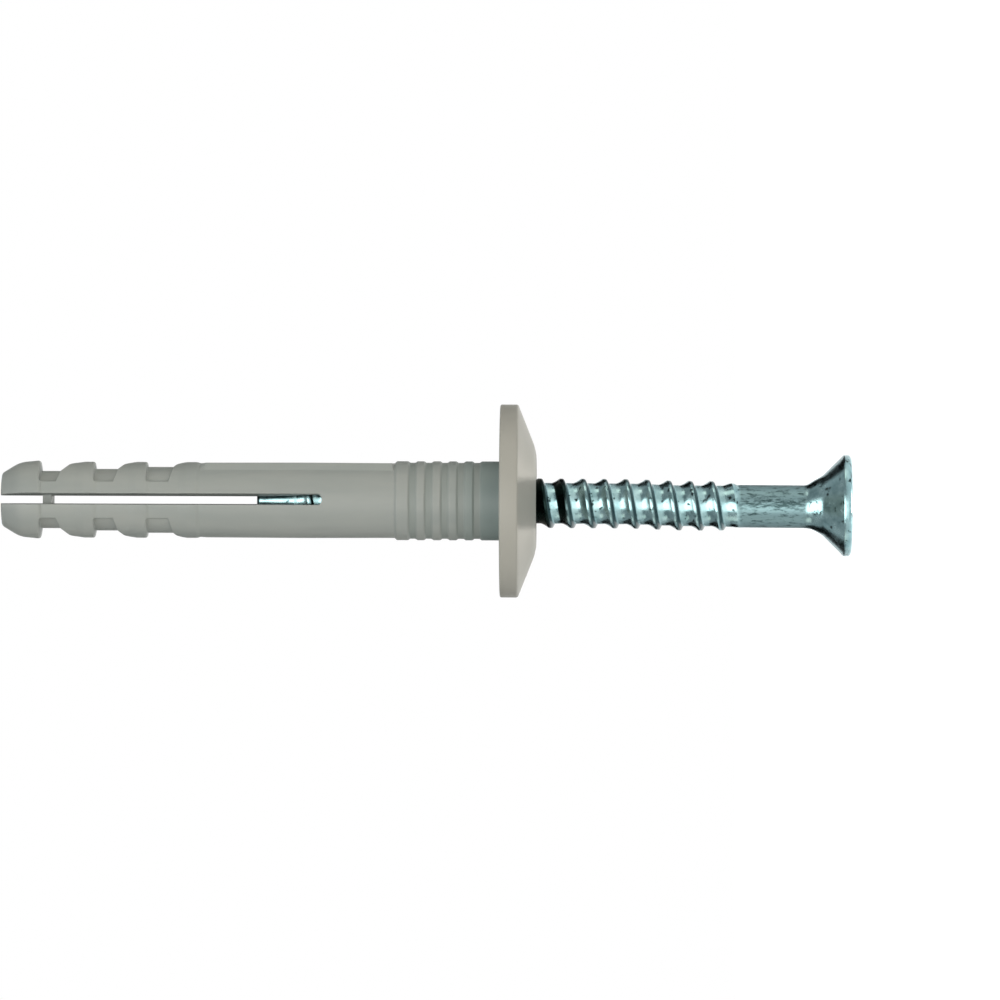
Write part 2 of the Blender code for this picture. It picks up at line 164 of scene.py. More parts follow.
floor_material = bpy.data.materials.new("matt white studio sheet")
floor_material.use_nodes = True
tree = floor_material.node_tree
tree.nodes.clear()
rays = add_node(tree, "ShaderNodeLightPath")
sides = add_node(tree, "ShaderNodeNewGeometry")
sheet = add_node(tree, "ShaderNodeBsdfDiffuse", None, {"Color": linear("#e6e6e6")})
glow = add_node(tree, "ShaderNodeEmission", None, {"Color": linear("#ffffff"), "Strength": 0.80})
lit = add_node(tree, "ShaderNodeAddShader", None, {0: sheet.outputs[0], 1: glow.outputs[0]})
mirrored = add_node(tree, "ShaderNodeMath", {"operation": "MAXIMUM"},
                    {0: rays.outputs["Is Glossy Ray"], 1: rays.outputs["Is Transmission Ray"]})
seen = add_node(tree, "ShaderNodeMath", {"operation": "MAXIMUM"},
                {0: rays.outputs["Is Camera Ray"], 1: mirrored.outputs[0]})
top = add_node(tree, "ShaderNodeMixShader", None,
               {0: seen.outputs[0], 1: sheet.outputs[0], 2: lit.outputs[0]})
from_below = add_node(tree, "ShaderNodeMath", {"operation": "MULTIPLY"},
                      {0: sides.outputs["Backfacing"], 1: rays.outputs["Is Camera Ray"]})
clear = add_node(tree, "ShaderNodeBsdfTransparent")
both = add_node(tree, "ShaderNodeMixShader", None,
                {0: from_below.outputs[0], 1: top.outputs[0], 2: clear.outputs[0]})
add_node(tree, "ShaderNodeOutputMaterial", None, {"Surface": both.outputs[0]})

disc = bmesh.new()
bmesh.ops.create_circle(disc, cap_ends=True, segments=96, radius=FLOOR_RADIUS)
bmesh.ops.translate(disc, verts=disc.verts, vec=(0, 0, -FLOOR_DROP))
floor_mesh = bpy.data.meshes.new("floor")
disc.to_mesh(floor_mesh)
disc.free()
floor_mesh.materials.append(floor_material)
floor = bpy.data.objects.new("floor", floor_mesh)
bpy.context.scene.collection.objects.link(floor)
floor.visible_shadow = False
print("floor lies, mm:", -FLOOR_DROP * 1000)

# %% [markdown]
# ## Lamps and flags
#
# The bright soft box hangs beside the lens, a little below it and towards the nose of the plug. The
# long flanks of the thread and the throat of the head mirror its hot core as white blocks. A warm light
# sheet on the floor lights the plug from the side of the head: it brightens the cone of the collar, and
# the collar throws its soft shadow on the neck. A small back light from the same side, behind the plug,
# throws the shadow of the nail on the cone. A warm strip above the plug and a weaker one below it
# brighten the two ends of the rim and the long edges of the body. Two black flags behind, above and
# below, draw the dark lines along the edges of the nail, and a weak fill behind keeps the far side
# readable.
#
# Lamps and flags are hidden from the camera itself, so no view round the object meets them.

# %% Hang the lamps
LAMPS = [
    # name, place, turned towards, width along the plug, height across it, brightness, colour, seen by
    ("front box", (-0.04, -0.44, 0.32), (0, 0, 0.026), 0.80, 0.46, 1.70, "#fffbf6", "all"),
    ("core of the box", (-0.08, -0.45, 0.32), (0, 0, 0.026), 0.76, 0.44, 2.4, "#fffbf6", "gloss"),
    ("light sheet", (0.0, -0.17, 0.001), (0.0, -0.17, 1.0), 0.26, 0.34, 0.85, "#fff0dc", "all"),
    ("back light", (0.0, 0.28, -0.38), (0, -0.006, 0.026), 0.03, 0.03, 380, "#fff8f0", "all"),
    ("top strip", (0.45, -0.10, 0.02), (0, 0, 0.034), 0.50, 0.20, 1.9, "#fff3e2", "all"),
    ("low strip", (-0.45, -0.10, 0.02), (0, 0, 0.034), 0.50, 0.20, 1.1, "#fff3e2", "all"),
    ("rear fill", (0.0, 0.50, 0.16), (0, 0, 0.034), 0.50, 0.60, 1.1, "#f4f8fb", "matt"),
]

for name, place, target, width, length, brightness, colour, seen_by in LAMPS:
    lamp_data = bpy.data.lights.new(name, "AREA")
    lamp_data.shape = "RECTANGLE"
    lamp_data.size = width
    lamp_data.size_y = length
    # An area lamp's watts spread over its area and over half a sphere
    lamp_data.energy = brightness * width * length * math.pi
    lamp_data.color = linear(colour)[:3]
    lamp = bpy.data.objects.new(name, lamp_data)
    bpy.context.scene.collection.objects.link(lamp)
    aim(lamp, place, target, (0, 1, 0) if place[1] == target[1] else (0, 0, 1))
    lamp.visible_camera = False
    lamp.visible_diffuse = seen_by != "gloss"
    lamp.visible_glossy = seen_by != "matt"
print("lamps:", ", ".join(lamp[0] for lamp in LAMPS))

# %% Set up the flags
flag_material = bpy.data.materials.new("black studio cloth")
flag_material.use_nodes = True
tree = flag_material.node_tree
tree.nodes.clear()
cloth = add_node(tree, "ShaderNodeBsdfDiffuse", None, {"Color": linear("#0a0b0b")})
add_node(tree, "ShaderNodeOutputMaterial", None, {"Surface": cloth.outputs[0]})

FLAG_PLACE = 0.27
FLAG_HALF_WIDTH = 0.10
FLAG_TOP = 0.40
for name, side in (("upper flag", 1), ("lower flag", -1)):
    sheet_mesh = bpy.data.meshes.new(name)
    # Each flag faces the plug at 45 degrees and stands on the floor
    near = ((FLAG_PLACE + FLAG_HALF_WIDTH) * side, FLAG_PLACE - FLAG_HALF_WIDTH)
    far = ((FLAG_PLACE - FLAG_HALF_WIDTH) * side, FLAG_PLACE + FLAG_HALF_WIDTH)
    corners = [(*near, 0.0), (*far, 0.0), (*far, FLAG_TOP), (*near, FLAG_TOP)]
    sheet_mesh.from_pydata(corners, [], [(0, 1, 2, 3)])
    sheet_mesh.materials.append(flag_material)
    flag = bpy.data.objects.new(name, sheet_mesh)
    bpy.context.scene.collection.objects.link(flag)
    flag.visible_camera = False

bpy.context.scene.view_settings.view_transform = "Standard"
print("flags stand", round(FLAG_PLACE * math.sqrt(2), 2), "m from the plug")

# %% [markdown]
# ## Material: injection-moulded nylon
#
# The sleeve is polyamide 6, coloured grey right through and injection-moulded. The mould leaves an even
# satin skin: a broad soft sheen, no grain that shows at arm's length, and faint flow marks that run
# along the part from the gate. The grey is warmest in the thick collar and a shade cooler in the thin
# sleeve. On the neck next to the collar the grey is darkened to a cool painted shade, for the collar's
# shadow, and the valleys between the ribs get painted shade too.
#
# Two noises are enough. A long one, stretched along Z, is the flow: it shifts the colour by a shade and
# the gloss by a little. A fine one is the skin of the mould. Real spark-eroded grain is about 0.03 mm,
# too fine to show here, so it is drawn at 0.12 mm and kept very shallow.

# %% Start the nylon with its flow marks
MILLIMETRE = 0.001
FLOW_WIDTH = 2.4 * MILLIMETRE
FLOW_STRETCH = 0.22


def per_metre(size):
    """Noise scale that gives a pattern about this size, in metres."""
    return 1.0 / size


nylon = bpy.data.materials.new("moulded grey polyamide")
nylon.use_nodes = True
tree = nylon.node_tree
tree.nodes.clear()
place = add_node(tree, "ShaderNodeTexCoord")
stretched = add_node(tree, "ShaderNodeMapping", None,
                     {"Vector": place.outputs["Object"], "Scale": (1.0, 1.0, FLOW_STRETCH)})
flow = add_node(tree, "ShaderNodeTexNoise", None,
                {"Vector": stretched.outputs[0], "Scale": per_metre(FLOW_WIDTH),
                 "Detail": 3.0, "Roughness": 0.55})
flow_colour = add_node(tree, "ShaderNodeValToRGB", None, {"Fac": flow.outputs["Fac"]})
flow_colour.color_ramp.elements[0].position = 0.3
flow_colour.color_ramp.elements[0].color = linear("#919998")
flow_colour.color_ramp.elements[1].position = 0.7
flow_colour.color_ramp.elements[1].color = linear("#9ba19f")
print("flow marks, mm:", round(FLOW_WIDTH / FLOW_STRETCH / MILLIMETRE, 1), "long")

# %% Give the nylon its warmer collar and its painted shade on the neck
# Painted shade: next to the collar the neck is darkened to a cool grey, for the collar's shadow
heights = add_node(tree, "ShaderNodeSeparateXYZ", None, {0: place.outputs["Object"]})
collar_shadow_zone = add_node(tree, "ShaderNodeMapRange", {"interpolation_type": "SMOOTHSTEP"},
                       {"Value": heights.outputs["Z"], "From Min": 33.0 * MILLIMETRE,
                        "From Max": 29.2 * MILLIMETRE})
collar_shadowed = add_node(tree, "ShaderNodeMix", {"data_type": "RGBA"},
                  {"Factor": collar_shadow_zone.outputs["Result"], "A": flow_colour.outputs["Color"],
                   "B": linear("#808e8d")})
# The collar is thicker, so its grey comes out warmer and lighter than that of the thin sleeve
on_collar = add_node(tree, "ShaderNodeMapRange", {"interpolation_type": "SMOOTHSTEP"},
                     {"Value": heights.outputs["Z"], "From Min": 28.35 * MILLIMETRE,
                      "From Max": 28.15 * MILLIMETRE})
body_colour = add_node(tree, "ShaderNodeMix", {"data_type": "RGBA"},
                       {"Factor": on_collar.outputs["Result"], "A": collar_shadowed.outputs["Result"],
                        "B": linear("#a5a6a0")})
# Painted shade: the valleys between the ribs of the neck are darkened
valleys = add_node(tree, "ShaderNodeAttribute", {"attribute_name": "rib_valley"})
valley_shaded = add_node(tree, "ShaderNodeMix", {"data_type": "RGBA"},
                 {"Factor": valleys.outputs["Fac"], "A": body_colour.outputs["Result"],
                  "B": linear("#88918f")})
print("nylon so far:", len(tree.nodes), "nodes")

# %% Give the nylon its satin skin
gloss = add_node(tree, "ShaderNodeMapRange", None,
                 {"Value": flow.outputs["Fac"], "From Min": 0.3, "From Max": 0.7,
                  "To Min": 0.44, "To Max": 0.54})
skin = add_node(tree, "ShaderNodeTexNoise", None,
                {"Vector": place.outputs["Object"], "Scale": per_metre(0.12 * MILLIMETRE),
                 "Detail": 2.0, "Roughness": 0.5})
skin_bump = add_node(tree, "ShaderNodeBump", None,
                     {"Height": skin.outputs["Fac"], "Strength": 0.25,
                      "Distance": 0.004 * MILLIMETRE})
surface = add_node(tree, "ShaderNodeBsdfPrincipled", None,
                   {"Base Color": valley_shaded.outputs["Result"], "Roughness": gloss.outputs["Result"],
                    "IOR": 1.53, "Specular IOR Level": 0.25, "Normal": skin_bump.outputs[0]})
add_node(tree, "ShaderNodeOutputMaterial", None, {"Surface": surface.outputs[0]})
print("nylon:", len(tree.nodes), "nodes")

# %% [markdown]
# ## Material: zinc-plated steel
#
# The nail is carbon steel, cold-formed, thread-rolled and then electroplated with zinc under a clear
# blue passivation. That gives a cool, slightly green grey metal: bright where the rolling dies polished
# it, duller on the drawn shank, with small dark specks and streaks in the plating. A painted dark
# reflection runs in a streak along the middle of the shank.
#
# A metal shows mostly what surrounds it, so the material keeps to a tinted colour, a roughness that
# varies in patches and streaks, and a shallow bump that breaks up the highlights. The thread brings
# three numbers of its own, written on its vertices: where its edge is, which gets a painted dark
# reflection, where its root is, which the dies leave dull, and where the two turns next to the collar
# are coloured near black.

# %% Start the zinc plating with its patches and pits
zinc = bpy.data.materials.new("zinc-plated rolled steel")
zinc.use_nodes = True
tree = zinc.node_tree
tree.nodes.clear()
place = add_node(tree, "ShaderNodeTexCoord")
patches = add_node(tree, "ShaderNodeTexNoise", None,
                   {"Vector": place.outputs["Object"], "Scale": per_metre(0.9 * MILLIMETRE),
                    "Detail": 4.0, "Roughness": 0.6})
plating = add_node(tree, "ShaderNodeValToRGB", None, {"Fac": patches.outputs["Fac"]})
plating.color_ramp.elements[0].position = 0.3
plating.color_ramp.elements[0].color = linear("#75979c")
plating.color_ramp.elements[1].position = 0.7
plating.color_ramp.elements[1].color = linear("#9dbdc1")
# Small dark pits
pit_noise = add_node(tree, "ShaderNodeTexNoise", None,
                     {"Vector": place.outputs["Object"], "Scale": per_metre(0.45 * MILLIMETRE),
                      "Detail": 2.0, "Roughness": 0.5})
pits = add_node(tree, "ShaderNodeMapRange", None,
                {"Value": pit_noise.outputs["Fac"], "From Min": 0.30, "From Max": 0.37,
                 "To Min": 1.0, "To Max": 0.0})
pitted = add_node(tree, "ShaderNodeMix", {"data_type": "RGBA"},
                  {"Factor": pits.outputs["Result"], "A": plating.outputs["Color"],
                   "B": linear("#2a3a3c")})
print("zinc plating so far:", len(tree.nodes), "nodes")

# %% Darken the edge of the thread and draw lines on the shank
# Where the painted dark reflection runs along the shank, just off the axis
REFLECTION_STREAK_PLACE = -0.18 * MILLIMETRE

# Painted dark reflection: the steep flank and the crest of the thread are darkened
edge = add_node(tree, "ShaderNodeAttribute", {"attribute_name": "thread_edge"})
crest_dark_reflection = add_node(tree, "ShaderNodeMix", {"data_type": "RGBA"},
                    {"Factor": edge.outputs["Fac"], "A": pitted.outputs["Result"],
                     "B": linear("#34474a")})
# The plain shank is drawn wire: dull, with dark lines along it. More of them gather in one streak
# along its middle, which is a painted dark reflection
heights = add_node(tree, "ShaderNodeSeparateXYZ", None, {0: place.outputs["Object"]})
from_head = add_node(tree, "ShaderNodeMapRange", {"interpolation_type": "SMOOTHSTEP"},
                     {"Value": heights.outputs["Z"], "From Min": 3.5 * MILLIMETRE,
                      "From Max": 3.8 * MILLIMETRE})
to_thread = add_node(tree, "ShaderNodeMapRange", {"interpolation_type": "SMOOTHSTEP"},
                     {"Value": heights.outputs["Z"], "From Min": 9.2 * MILLIMETRE,
                      "From Max": 8.8 * MILLIMETRE})
drawn = add_node(tree, "ShaderNodeMath", {"operation": "MINIMUM"},
                 {0: from_head.outputs["Result"], 1: to_thread.outputs["Result"]})
line_place = add_node(tree, "ShaderNodeMapping", None,
                      {"Vector": place.outputs["Object"], "Scale": (1.0, 1.0, 0.32)})
line_noise = add_node(tree, "ShaderNodeTexNoise", None,
                      {"Vector": line_place.outputs[0], "Scale": per_metre(0.24 * MILLIMETRE),
                       "Detail": 3.0, "Roughness": 0.7})
off_streak = add_node(tree, "ShaderNodeMath", {"operation": "SUBTRACT"},
                      {0: heights.outputs["X"], 1: REFLECTION_STREAK_PLACE})
from_streak = add_node(tree, "ShaderNodeMath", {"operation": "ABSOLUTE"}, {0: off_streak.outputs[0]})
streak = add_node(tree, "ShaderNodeMapRange", {"interpolation_type": "SMOOTHSTEP"},
                  {"Value": from_streak.outputs[0], "From Min": 0.15 * MILLIMETRE,
                   "From Max": 0.45 * MILLIMETRE, "To Min": -0.12, "To Max": 0.0})
line_value = add_node(tree, "ShaderNodeMath", {"operation": "ADD"},
                      {0: line_noise.outputs["Fac"], 1: streak.outputs["Result"]})
lines = add_node(tree, "ShaderNodeMapRange", None,
                 {"Value": line_value.outputs[0], "From Min": 0.33, "From Max": 0.50})
drawn_lines_and_reflection = add_node(tree, "ShaderNodeMix", {"data_type": "RGBA"},
                        {"Factor": lines.outputs["Result"], "A": linear("#3c5052"),
                         "B": linear("#728d91")})
wire = add_node(tree, "ShaderNodeMix", {"data_type": "RGBA"},
                {"Factor": drawn.outputs[0], "A": crest_dark_reflection.outputs["Result"],
                 "B": drawn_lines_and_reflection.outputs["Result"]})
print("the streak runs, mm:", round(-REFLECTION_STREAK_PLACE / MILLIMETRE, 2), "below the axis")

# %% Add the black band, the gloss and the dents
# Near black on the turns of the thread next to the collar, where the thread marks it
black_band = add_node(tree, "ShaderNodeAttribute", {"attribute_name": "black_band"})
black_banded = add_node(tree, "ShaderNodeMix", {"data_type": "RGBA"},
                  {"Factor": black_band.outputs["Fac"], "A": wire.outputs["Result"],
                   "B": linear("#14201f")})
polish = add_node(tree, "ShaderNodeMapRange", None,
                  {"Value": patches.outputs["Fac"], "From Min": 0.3, "From Max": 0.7,
                   "To Min": 0.16, "To Max": 0.30})
root = add_node(tree, "ShaderNodeAttribute", {"attribute_name": "thread_root"})
rolled = add_node(tree, "ShaderNodeMix", {"data_type": "FLOAT"},
                  {"Factor": root.outputs["Fac"], "A": polish.outputs["Result"], "B": 0.40})
dullness = add_node(tree, "ShaderNodeMix", {"data_type": "FLOAT"},
                    {"Factor": drawn.outputs[0], "A": rolled.outputs["Result"], "B": 0.42})
streaks_place = add_node(tree, "ShaderNodeMapping", None,
                         {"Vector": place.outputs["Object"], "Scale": (1.0, 1.0, 0.3)})
streaks = add_node(tree, "ShaderNodeTexNoise", None,
                   {"Vector": streaks_place.outputs[0], "Scale": per_metre(0.22 * MILLIMETRE),
                    "Detail": 3.0, "Roughness": 0.6})
dents = add_node(tree, "ShaderNodeBump", None,
                 {"Height": streaks.outputs["Fac"], "Strength": 0.5,
                  "Distance": 0.012 * MILLIMETRE})
surface = add_node(tree, "ShaderNodeBsdfPrincipled", None,
                   {"Base Color": black_banded.outputs["Result"], "Metallic": 1.0,
                    "Roughness": dullness.outputs["Result"], "Normal": dents.outputs[0]})
add_node(tree, "ShaderNodeOutputMaterial", None, {"Surface": surface.outputs[0]})
print("zinc plating:", len(tree.nodes), "nodes")

# %% [markdown]
# ## Eased corners
#
# Moulded plastic and rolled steel have no true corners: each one is eased by a tenth of a millimetre or
# so, and those small curves are what catch the light. Both pieces are drawn from outlines, lists of
# corners as radius and height, and one function eases every corner with a short curve. It always gives
# the same number of points for the same list, so outlines at different angles round the axis can be
# joined into a clean skin of four-sided faces.

# %% Ease an outline
CURVE_STEPS = 4
# No curve takes more than this share of the side that it stands on
MOST_OF_SIDE = 0.45


def eased(corners):
    """Points of an outline whose corners are (radius, height, ease, parts to the next corner)."""
    points = []
    for index, (radius, height, ease, parts) in enumerate(corners):
        here = Vector((radius, height))
        last = index == len(corners) - 1
        if 0 < index and not last:
            back = Vector(corners[index - 1][:2]) - here
            ahead = Vector(corners[index + 1][:2]) - here
            start = here + back.normalized() * min(ease, back.length * MOST_OF_SIDE)
            end = here + ahead.normalized() * min(ease, ahead.length * MOST_OF_SIDE)
            for step in range(CURVE_STEPS + 1):
                share = step / CURVE_STEPS
                near = start.lerp(here, share)
                far = here.lerp(end, share)
                points.append((near.lerp(far, share), parts if step == CURVE_STEPS else 1))
        else:
            points.append((here, parts))
    filled = []
    for (point, parts), (after, _) in zip(points, points[1:]):
        filled += [point.lerp(after, part / parts) for part in range(parts)]
    return filled + [points[-1][0]]


def object_from(mesh_builder, name, material):
    """An object in the scene from a bmesh, its doubles merged and its faces turned outwards."""
    bmesh.ops.remove_doubles(mesh_builder, verts=mesh_builder.verts, dist=1e-7)
    bmesh.ops.dissolve_degenerate(mesh_builder, edges=mesh_builder.edges, dist=1e-8)
    bmesh.ops.recalc_face_normals(mesh_builder, faces=mesh_builder.faces)
    mesh = bpy.data.meshes.new(name)
    mesh_builder.to_mesh(mesh)
    mesh_builder.free()
    mesh.materials.append(material)
    made = bpy.data.objects.new(name, mesh)
    bpy.context.scene.collection.objects.link(made)
    return made


print("one eased corner has", len(eased([(0, 0, 0, 1), (1, 0, 0.1, 1), (1, 1, 0, 1)])) - 2, "points")

# %% [markdown]
# ## Sleeve: the skin between nose and last barb
#
# Each half of the mould pulls away along Y. So the pockets between the barbs are cut square to that
# pull: their side walls are flat and stop at a spine that runs along each slit, the backs of the barbs
# stand square on the axis, and the floors follow the round of the sleeve.
#
# Seen along any angle round the axis, the surface is one line from the nose to the collar. So the whole
# skin can be drawn as an outline for each angle: where a ray leaves the pocket's floor and meets the
# flat side wall, the floor simply climbs with it. The sizes are those of the CAD model.

# %% Sizes of the sleeve
BEARING_FACE = 0.02820
SLEEVE_LENGTH = 0.0400
BODY_RADIUS = 0.0030
SPINE_RADIUS = 0.00296
BARB_RADIUS = 0.00305
NOSE_RADIUS = 0.00315
FIRST_BARB = 0.00311
BARB_PITCH = 0.00437
BARB_PITCH_STEP = 0.00016
BARB_LAND = 0.00085
BARB_RISE = 0.0006
BARB_LEAD = 0.0002
BARB_EDGE = 0.00018
NOSE_EDGE = 0.00026
POCKET_COUNT = 3
POCKET_LENGTH = 0.00237
POCKET_RAMP = math.tan(math.radians(39))
POCKET_FOOT = 0.00035
POCKET_DEPTH = 0.00075
POCKET_DEPTH_STEP = 0.000175
POCKET_ROUND = 0.00012
SPINE_HALF = 0.00149
WIDEST_WALL = 0.004
WALL_EASE = 0.00010
BACK_EASE = 0.00004
BACK_LEAN = 0.0002
RAMP_EASE = 0.00006
RAMP_PARTS = 6
RAMP_OVERRUN = 0.00003
UNDER_CREST = 0.00002
LEAST_STEP = 0.00004
print("sleeve, mm:", SLEEVE_LENGTH * 1000, "below its collar")


# %% Find the barbs and the pockets
def barb_back(index):
    """Height of the back edge of a barb above the bearing face. Barb 0 is the nose."""
    shortened = BARB_PITCH_STEP * index * (index - 1) / 2
    return SLEEVE_LENGTH - FIRST_BARB - index * BARB_PITCH + shortened


def pocket_floor(index):
    """Radius of a pocket's floor. Each pair of pockets is a little shallower than the last."""
    return BARB_RADIUS - POCKET_DEPTH + index * POCKET_DEPTH_STEP


def ramp_start(index):
    """Height at which a pocket's floor turns into the ramp of the next barb."""
    rise = BARB_RADIUS - BARB_LEAD - pocket_floor(index)
    return barb_back(index) - POCKET_LENGTH + rise / POCKET_RAMP


for index in range(POCKET_COUNT):
    print("pocket", index + 1, "floor radius, mm:", round(pocket_floor(index) * 1000, 2))


# %% Draw a pocket at one angle
def softly_least(first, second, blend):
    """The smaller of two values, with a small curve where they cross."""
    share = min(max(0.5 + (second - first) / (2 * blend), 0.0), 1.0)
    return second + (first - second) * share - blend * share * (1 - share)


def crest_radius(index, height):
    """Radius of the skin outside the pockets, between barb number index and the next."""
    land = barb_back(index + 1) + BARB_LAND
    share = min(max((land + BARB_RISE - height) / BARB_RISE, 0.0), 1.0)
    return SPINE_RADIUS + (BARB_RADIUS - SPINE_RADIUS) * share


def ramp_across(index, height):
    """How far from the middle plane the ramp up to the next barb has come at a height."""
    start = ramp_start(index)
    turns = [(SPINE_HALF, start + POCKET_FOOT), (pocket_floor(index), start)]
    turns += [(BARB_RADIUS - BARB_LEAD, barb_back(index) - POCKET_LENGTH)]
    turns += [(BARB_RADIUS + RAMP_OVERRUN, barb_back(index + 1) + BARB_LAND)]
    for (across, high), (next_across, low) in zip(turns, turns[1:]):
        if height >= low:
            share = min(max((high - height) / (high - low), 0.0), 1.0)
            return across + (next_across - across) * share
    return turns[-1][0]


def first_height(index, radius, across_share, below):
    """The height at which the ramp reaches a radius, looking down from a height."""
    height = below
    step = 0.00001
    lowest = barb_back(index + 1) + BARB_LAND
    while height > lowest and ramp_across(index, height) < radius(height) * across_share:
        height -= step
    return height


def pocket_corners(index, angle):
    """Corners of the skin from the back of one barb to the rise of the next, at one angle."""
    across_share = max(abs(math.cos(angle)), 0.0001)
    outer = NOSE_RADIUS if index == 0 else BARB_RADIUS
    edge = NOSE_EDGE if index == 0 else BARB_EDGE
    wall = min(SPINE_HALF / across_share, WIDEST_WALL)
    floor = -softly_least(-pocket_floor(index), -wall, WALL_EASE)
    floor = softly_least(floor, SPINE_RADIUS, WALL_EASE)
    back = barb_back(index)
    land = barb_back(index + 1) + BARB_LAND
    start = ramp_start(index)
    foot = first_height(index, lambda height: floor, across_share, start + POCKET_FOOT)
    foot = min(foot, start + POCKET_FOOT)
    top = first_height(index, lambda height: crest_radius(index, height) - UNDER_CREST,
                       across_share, foot)
    top = max(min(top, foot - 3 * LEAST_STEP), land + 3 * LEAST_STEP)
    # On the spine the back is only a low step, and it leans
    on_spine = max(1 - (SPINE_RADIUS - floor) / WALL_EASE, 0.0)
    back_foot = back - LEAST_STEP / 2 - BACK_LEAN * on_spine
    corners = [(outer, back, edge, 1), (floor, back_foot, BACK_EASE, 5)]
    corners.append((floor, foot, POCKET_ROUND, 1))
    for part in range(1, RAMP_PARTS):
        height = foot + (top - foot) * part / RAMP_PARTS
        reach = min(ramp_across(index, height) / across_share, crest_radius(index, height))
        corners.append((max(reach, floor), height, RAMP_EASE, 1))
    corners.append((crest_radius(index, top), top, RAMP_EASE, 1))
    for part in range(1, RAMP_PARTS):
        height = top + (land - top) * part / RAMP_PARTS
        corners.append((crest_radius(index, height), height, RAMP_EASE, 1))
    corners.append((BARB_RADIUS, land, RAMP_EASE, 2))
    return corners


print("corners of one pocket:", len(pocket_corners(0, 0.0)))

# %% [markdown]
# ## Sleeve: nose, body, collar and bore
#
# The rest of the outline is the same at every angle. The nose is a short cone that finds the hole, and
# its shoulder still grows a little towards the first barb. The body is round but for a low rail with a
# flat top along its +X side, and below it the neck stays bare for now: its ribs come next. The collar is
# a flat disc with a shallow cone and a narrow ring round the seat that takes the countersunk head. The
# bore is a little wider than the thread, and narrows where the point of the nail starts to spread the
# legs.

# %% Sizes of the nose, the body, the collar and the bore
NOSE_FLAT_RADIUS = 0.00212
NOSE_CONE_END = 0.00283
NOSE_SHOULDER = 0.00195
NOSE_LAND_RADIUS = 0.00301
NOSE_LAND = 0.00145
BODY_SWELL = 0.00003
BODY_SWELL_HEIGHT = 0.0155
RAIL_TOP = 0.0030
RAIL_SIDE = 0.002702
RAIL_SIDE_TURN = math.radians(62.6)
RAIL_END = math.radians(37.2)
RAIL_RAMP = 0.00045
RAIL_ROUND = 0.00005
NECK_LENGTH = 0.00849
NECK_LEAD = 0.00024
NECK_PLATEAU = 0.00143
NECK_RADIUS = 0.003175
RIB_COUNT = 5
RIB_HEIGHT = 0.00012
RIB_FLANK_START = 0.20
RIB_CREST_START = 0.38
RIB_CREST_END = 0.75
RIB_FOOT = 0.92
FIRST_RIB = NECK_LENGTH - NECK_LEAD / 2
RIB_PITCH = (FIRST_RIB - NECK_PLATEAU) / (RIB_COUNT + RIB_CREST_START)
ROWS_PER_RIB = 28
COLLAR_RADIUS = 0.00775
COLLAR_RIM = 0.00144
COLLAR_HEIGHT = 0.00292
RING_OUTSIDE = 0.00450
RING_START = 0.00273
RING_RADIUS = 0.00388
RING_EDGE = 0.00288
SEAT_RADIUS = 0.00365
BORE_RADIUS = 0.0022
CHANNEL_RADIUS = 0.0010
POINT_HEIGHT = 0.0195
POINT_LENGTH = 0.0045
CHANNEL_END = 0.03532
print("collar, mm:", COLLAR_RADIUS * 2000, "across")


# %% Draw the rest of the outline
def nose_corners():
    """From the flat of the nose over its cone and shoulder to the land of the first barb."""
    shoulder = barb_back(0) + NOSE_SHOULDER
    land = barb_back(0) + NOSE_LAND
    corners = [(NOSE_FLAT_RADIUS - 0.0007, SLEEVE_LENGTH, 0.0, 1)]
    corners += [(NOSE_FLAT_RADIUS, SLEEVE_LENGTH, 0.00018, 6)]
    corners += [(NOSE_CONE_END, shoulder, 0.00030, 2), (NOSE_LAND_RADIUS, land, 0.00030, 5)]
    return corners


def rail_radius(angle):
    """Radius of the body at an angle, with its low flat-topped rail on the +X side."""
    flat = RAIL_TOP / max(math.cos(angle), 0.01)
    away = abs(math.remainder(angle, 2 * math.pi))
    side = RAIL_SIDE / max(math.cos(away - RAIL_SIDE_TURN), 0.01)
    rail = softly_least(flat, side, RAIL_ROUND)
    return rail if away < RAIL_END and rail > BODY_RADIUS else BODY_RADIUS


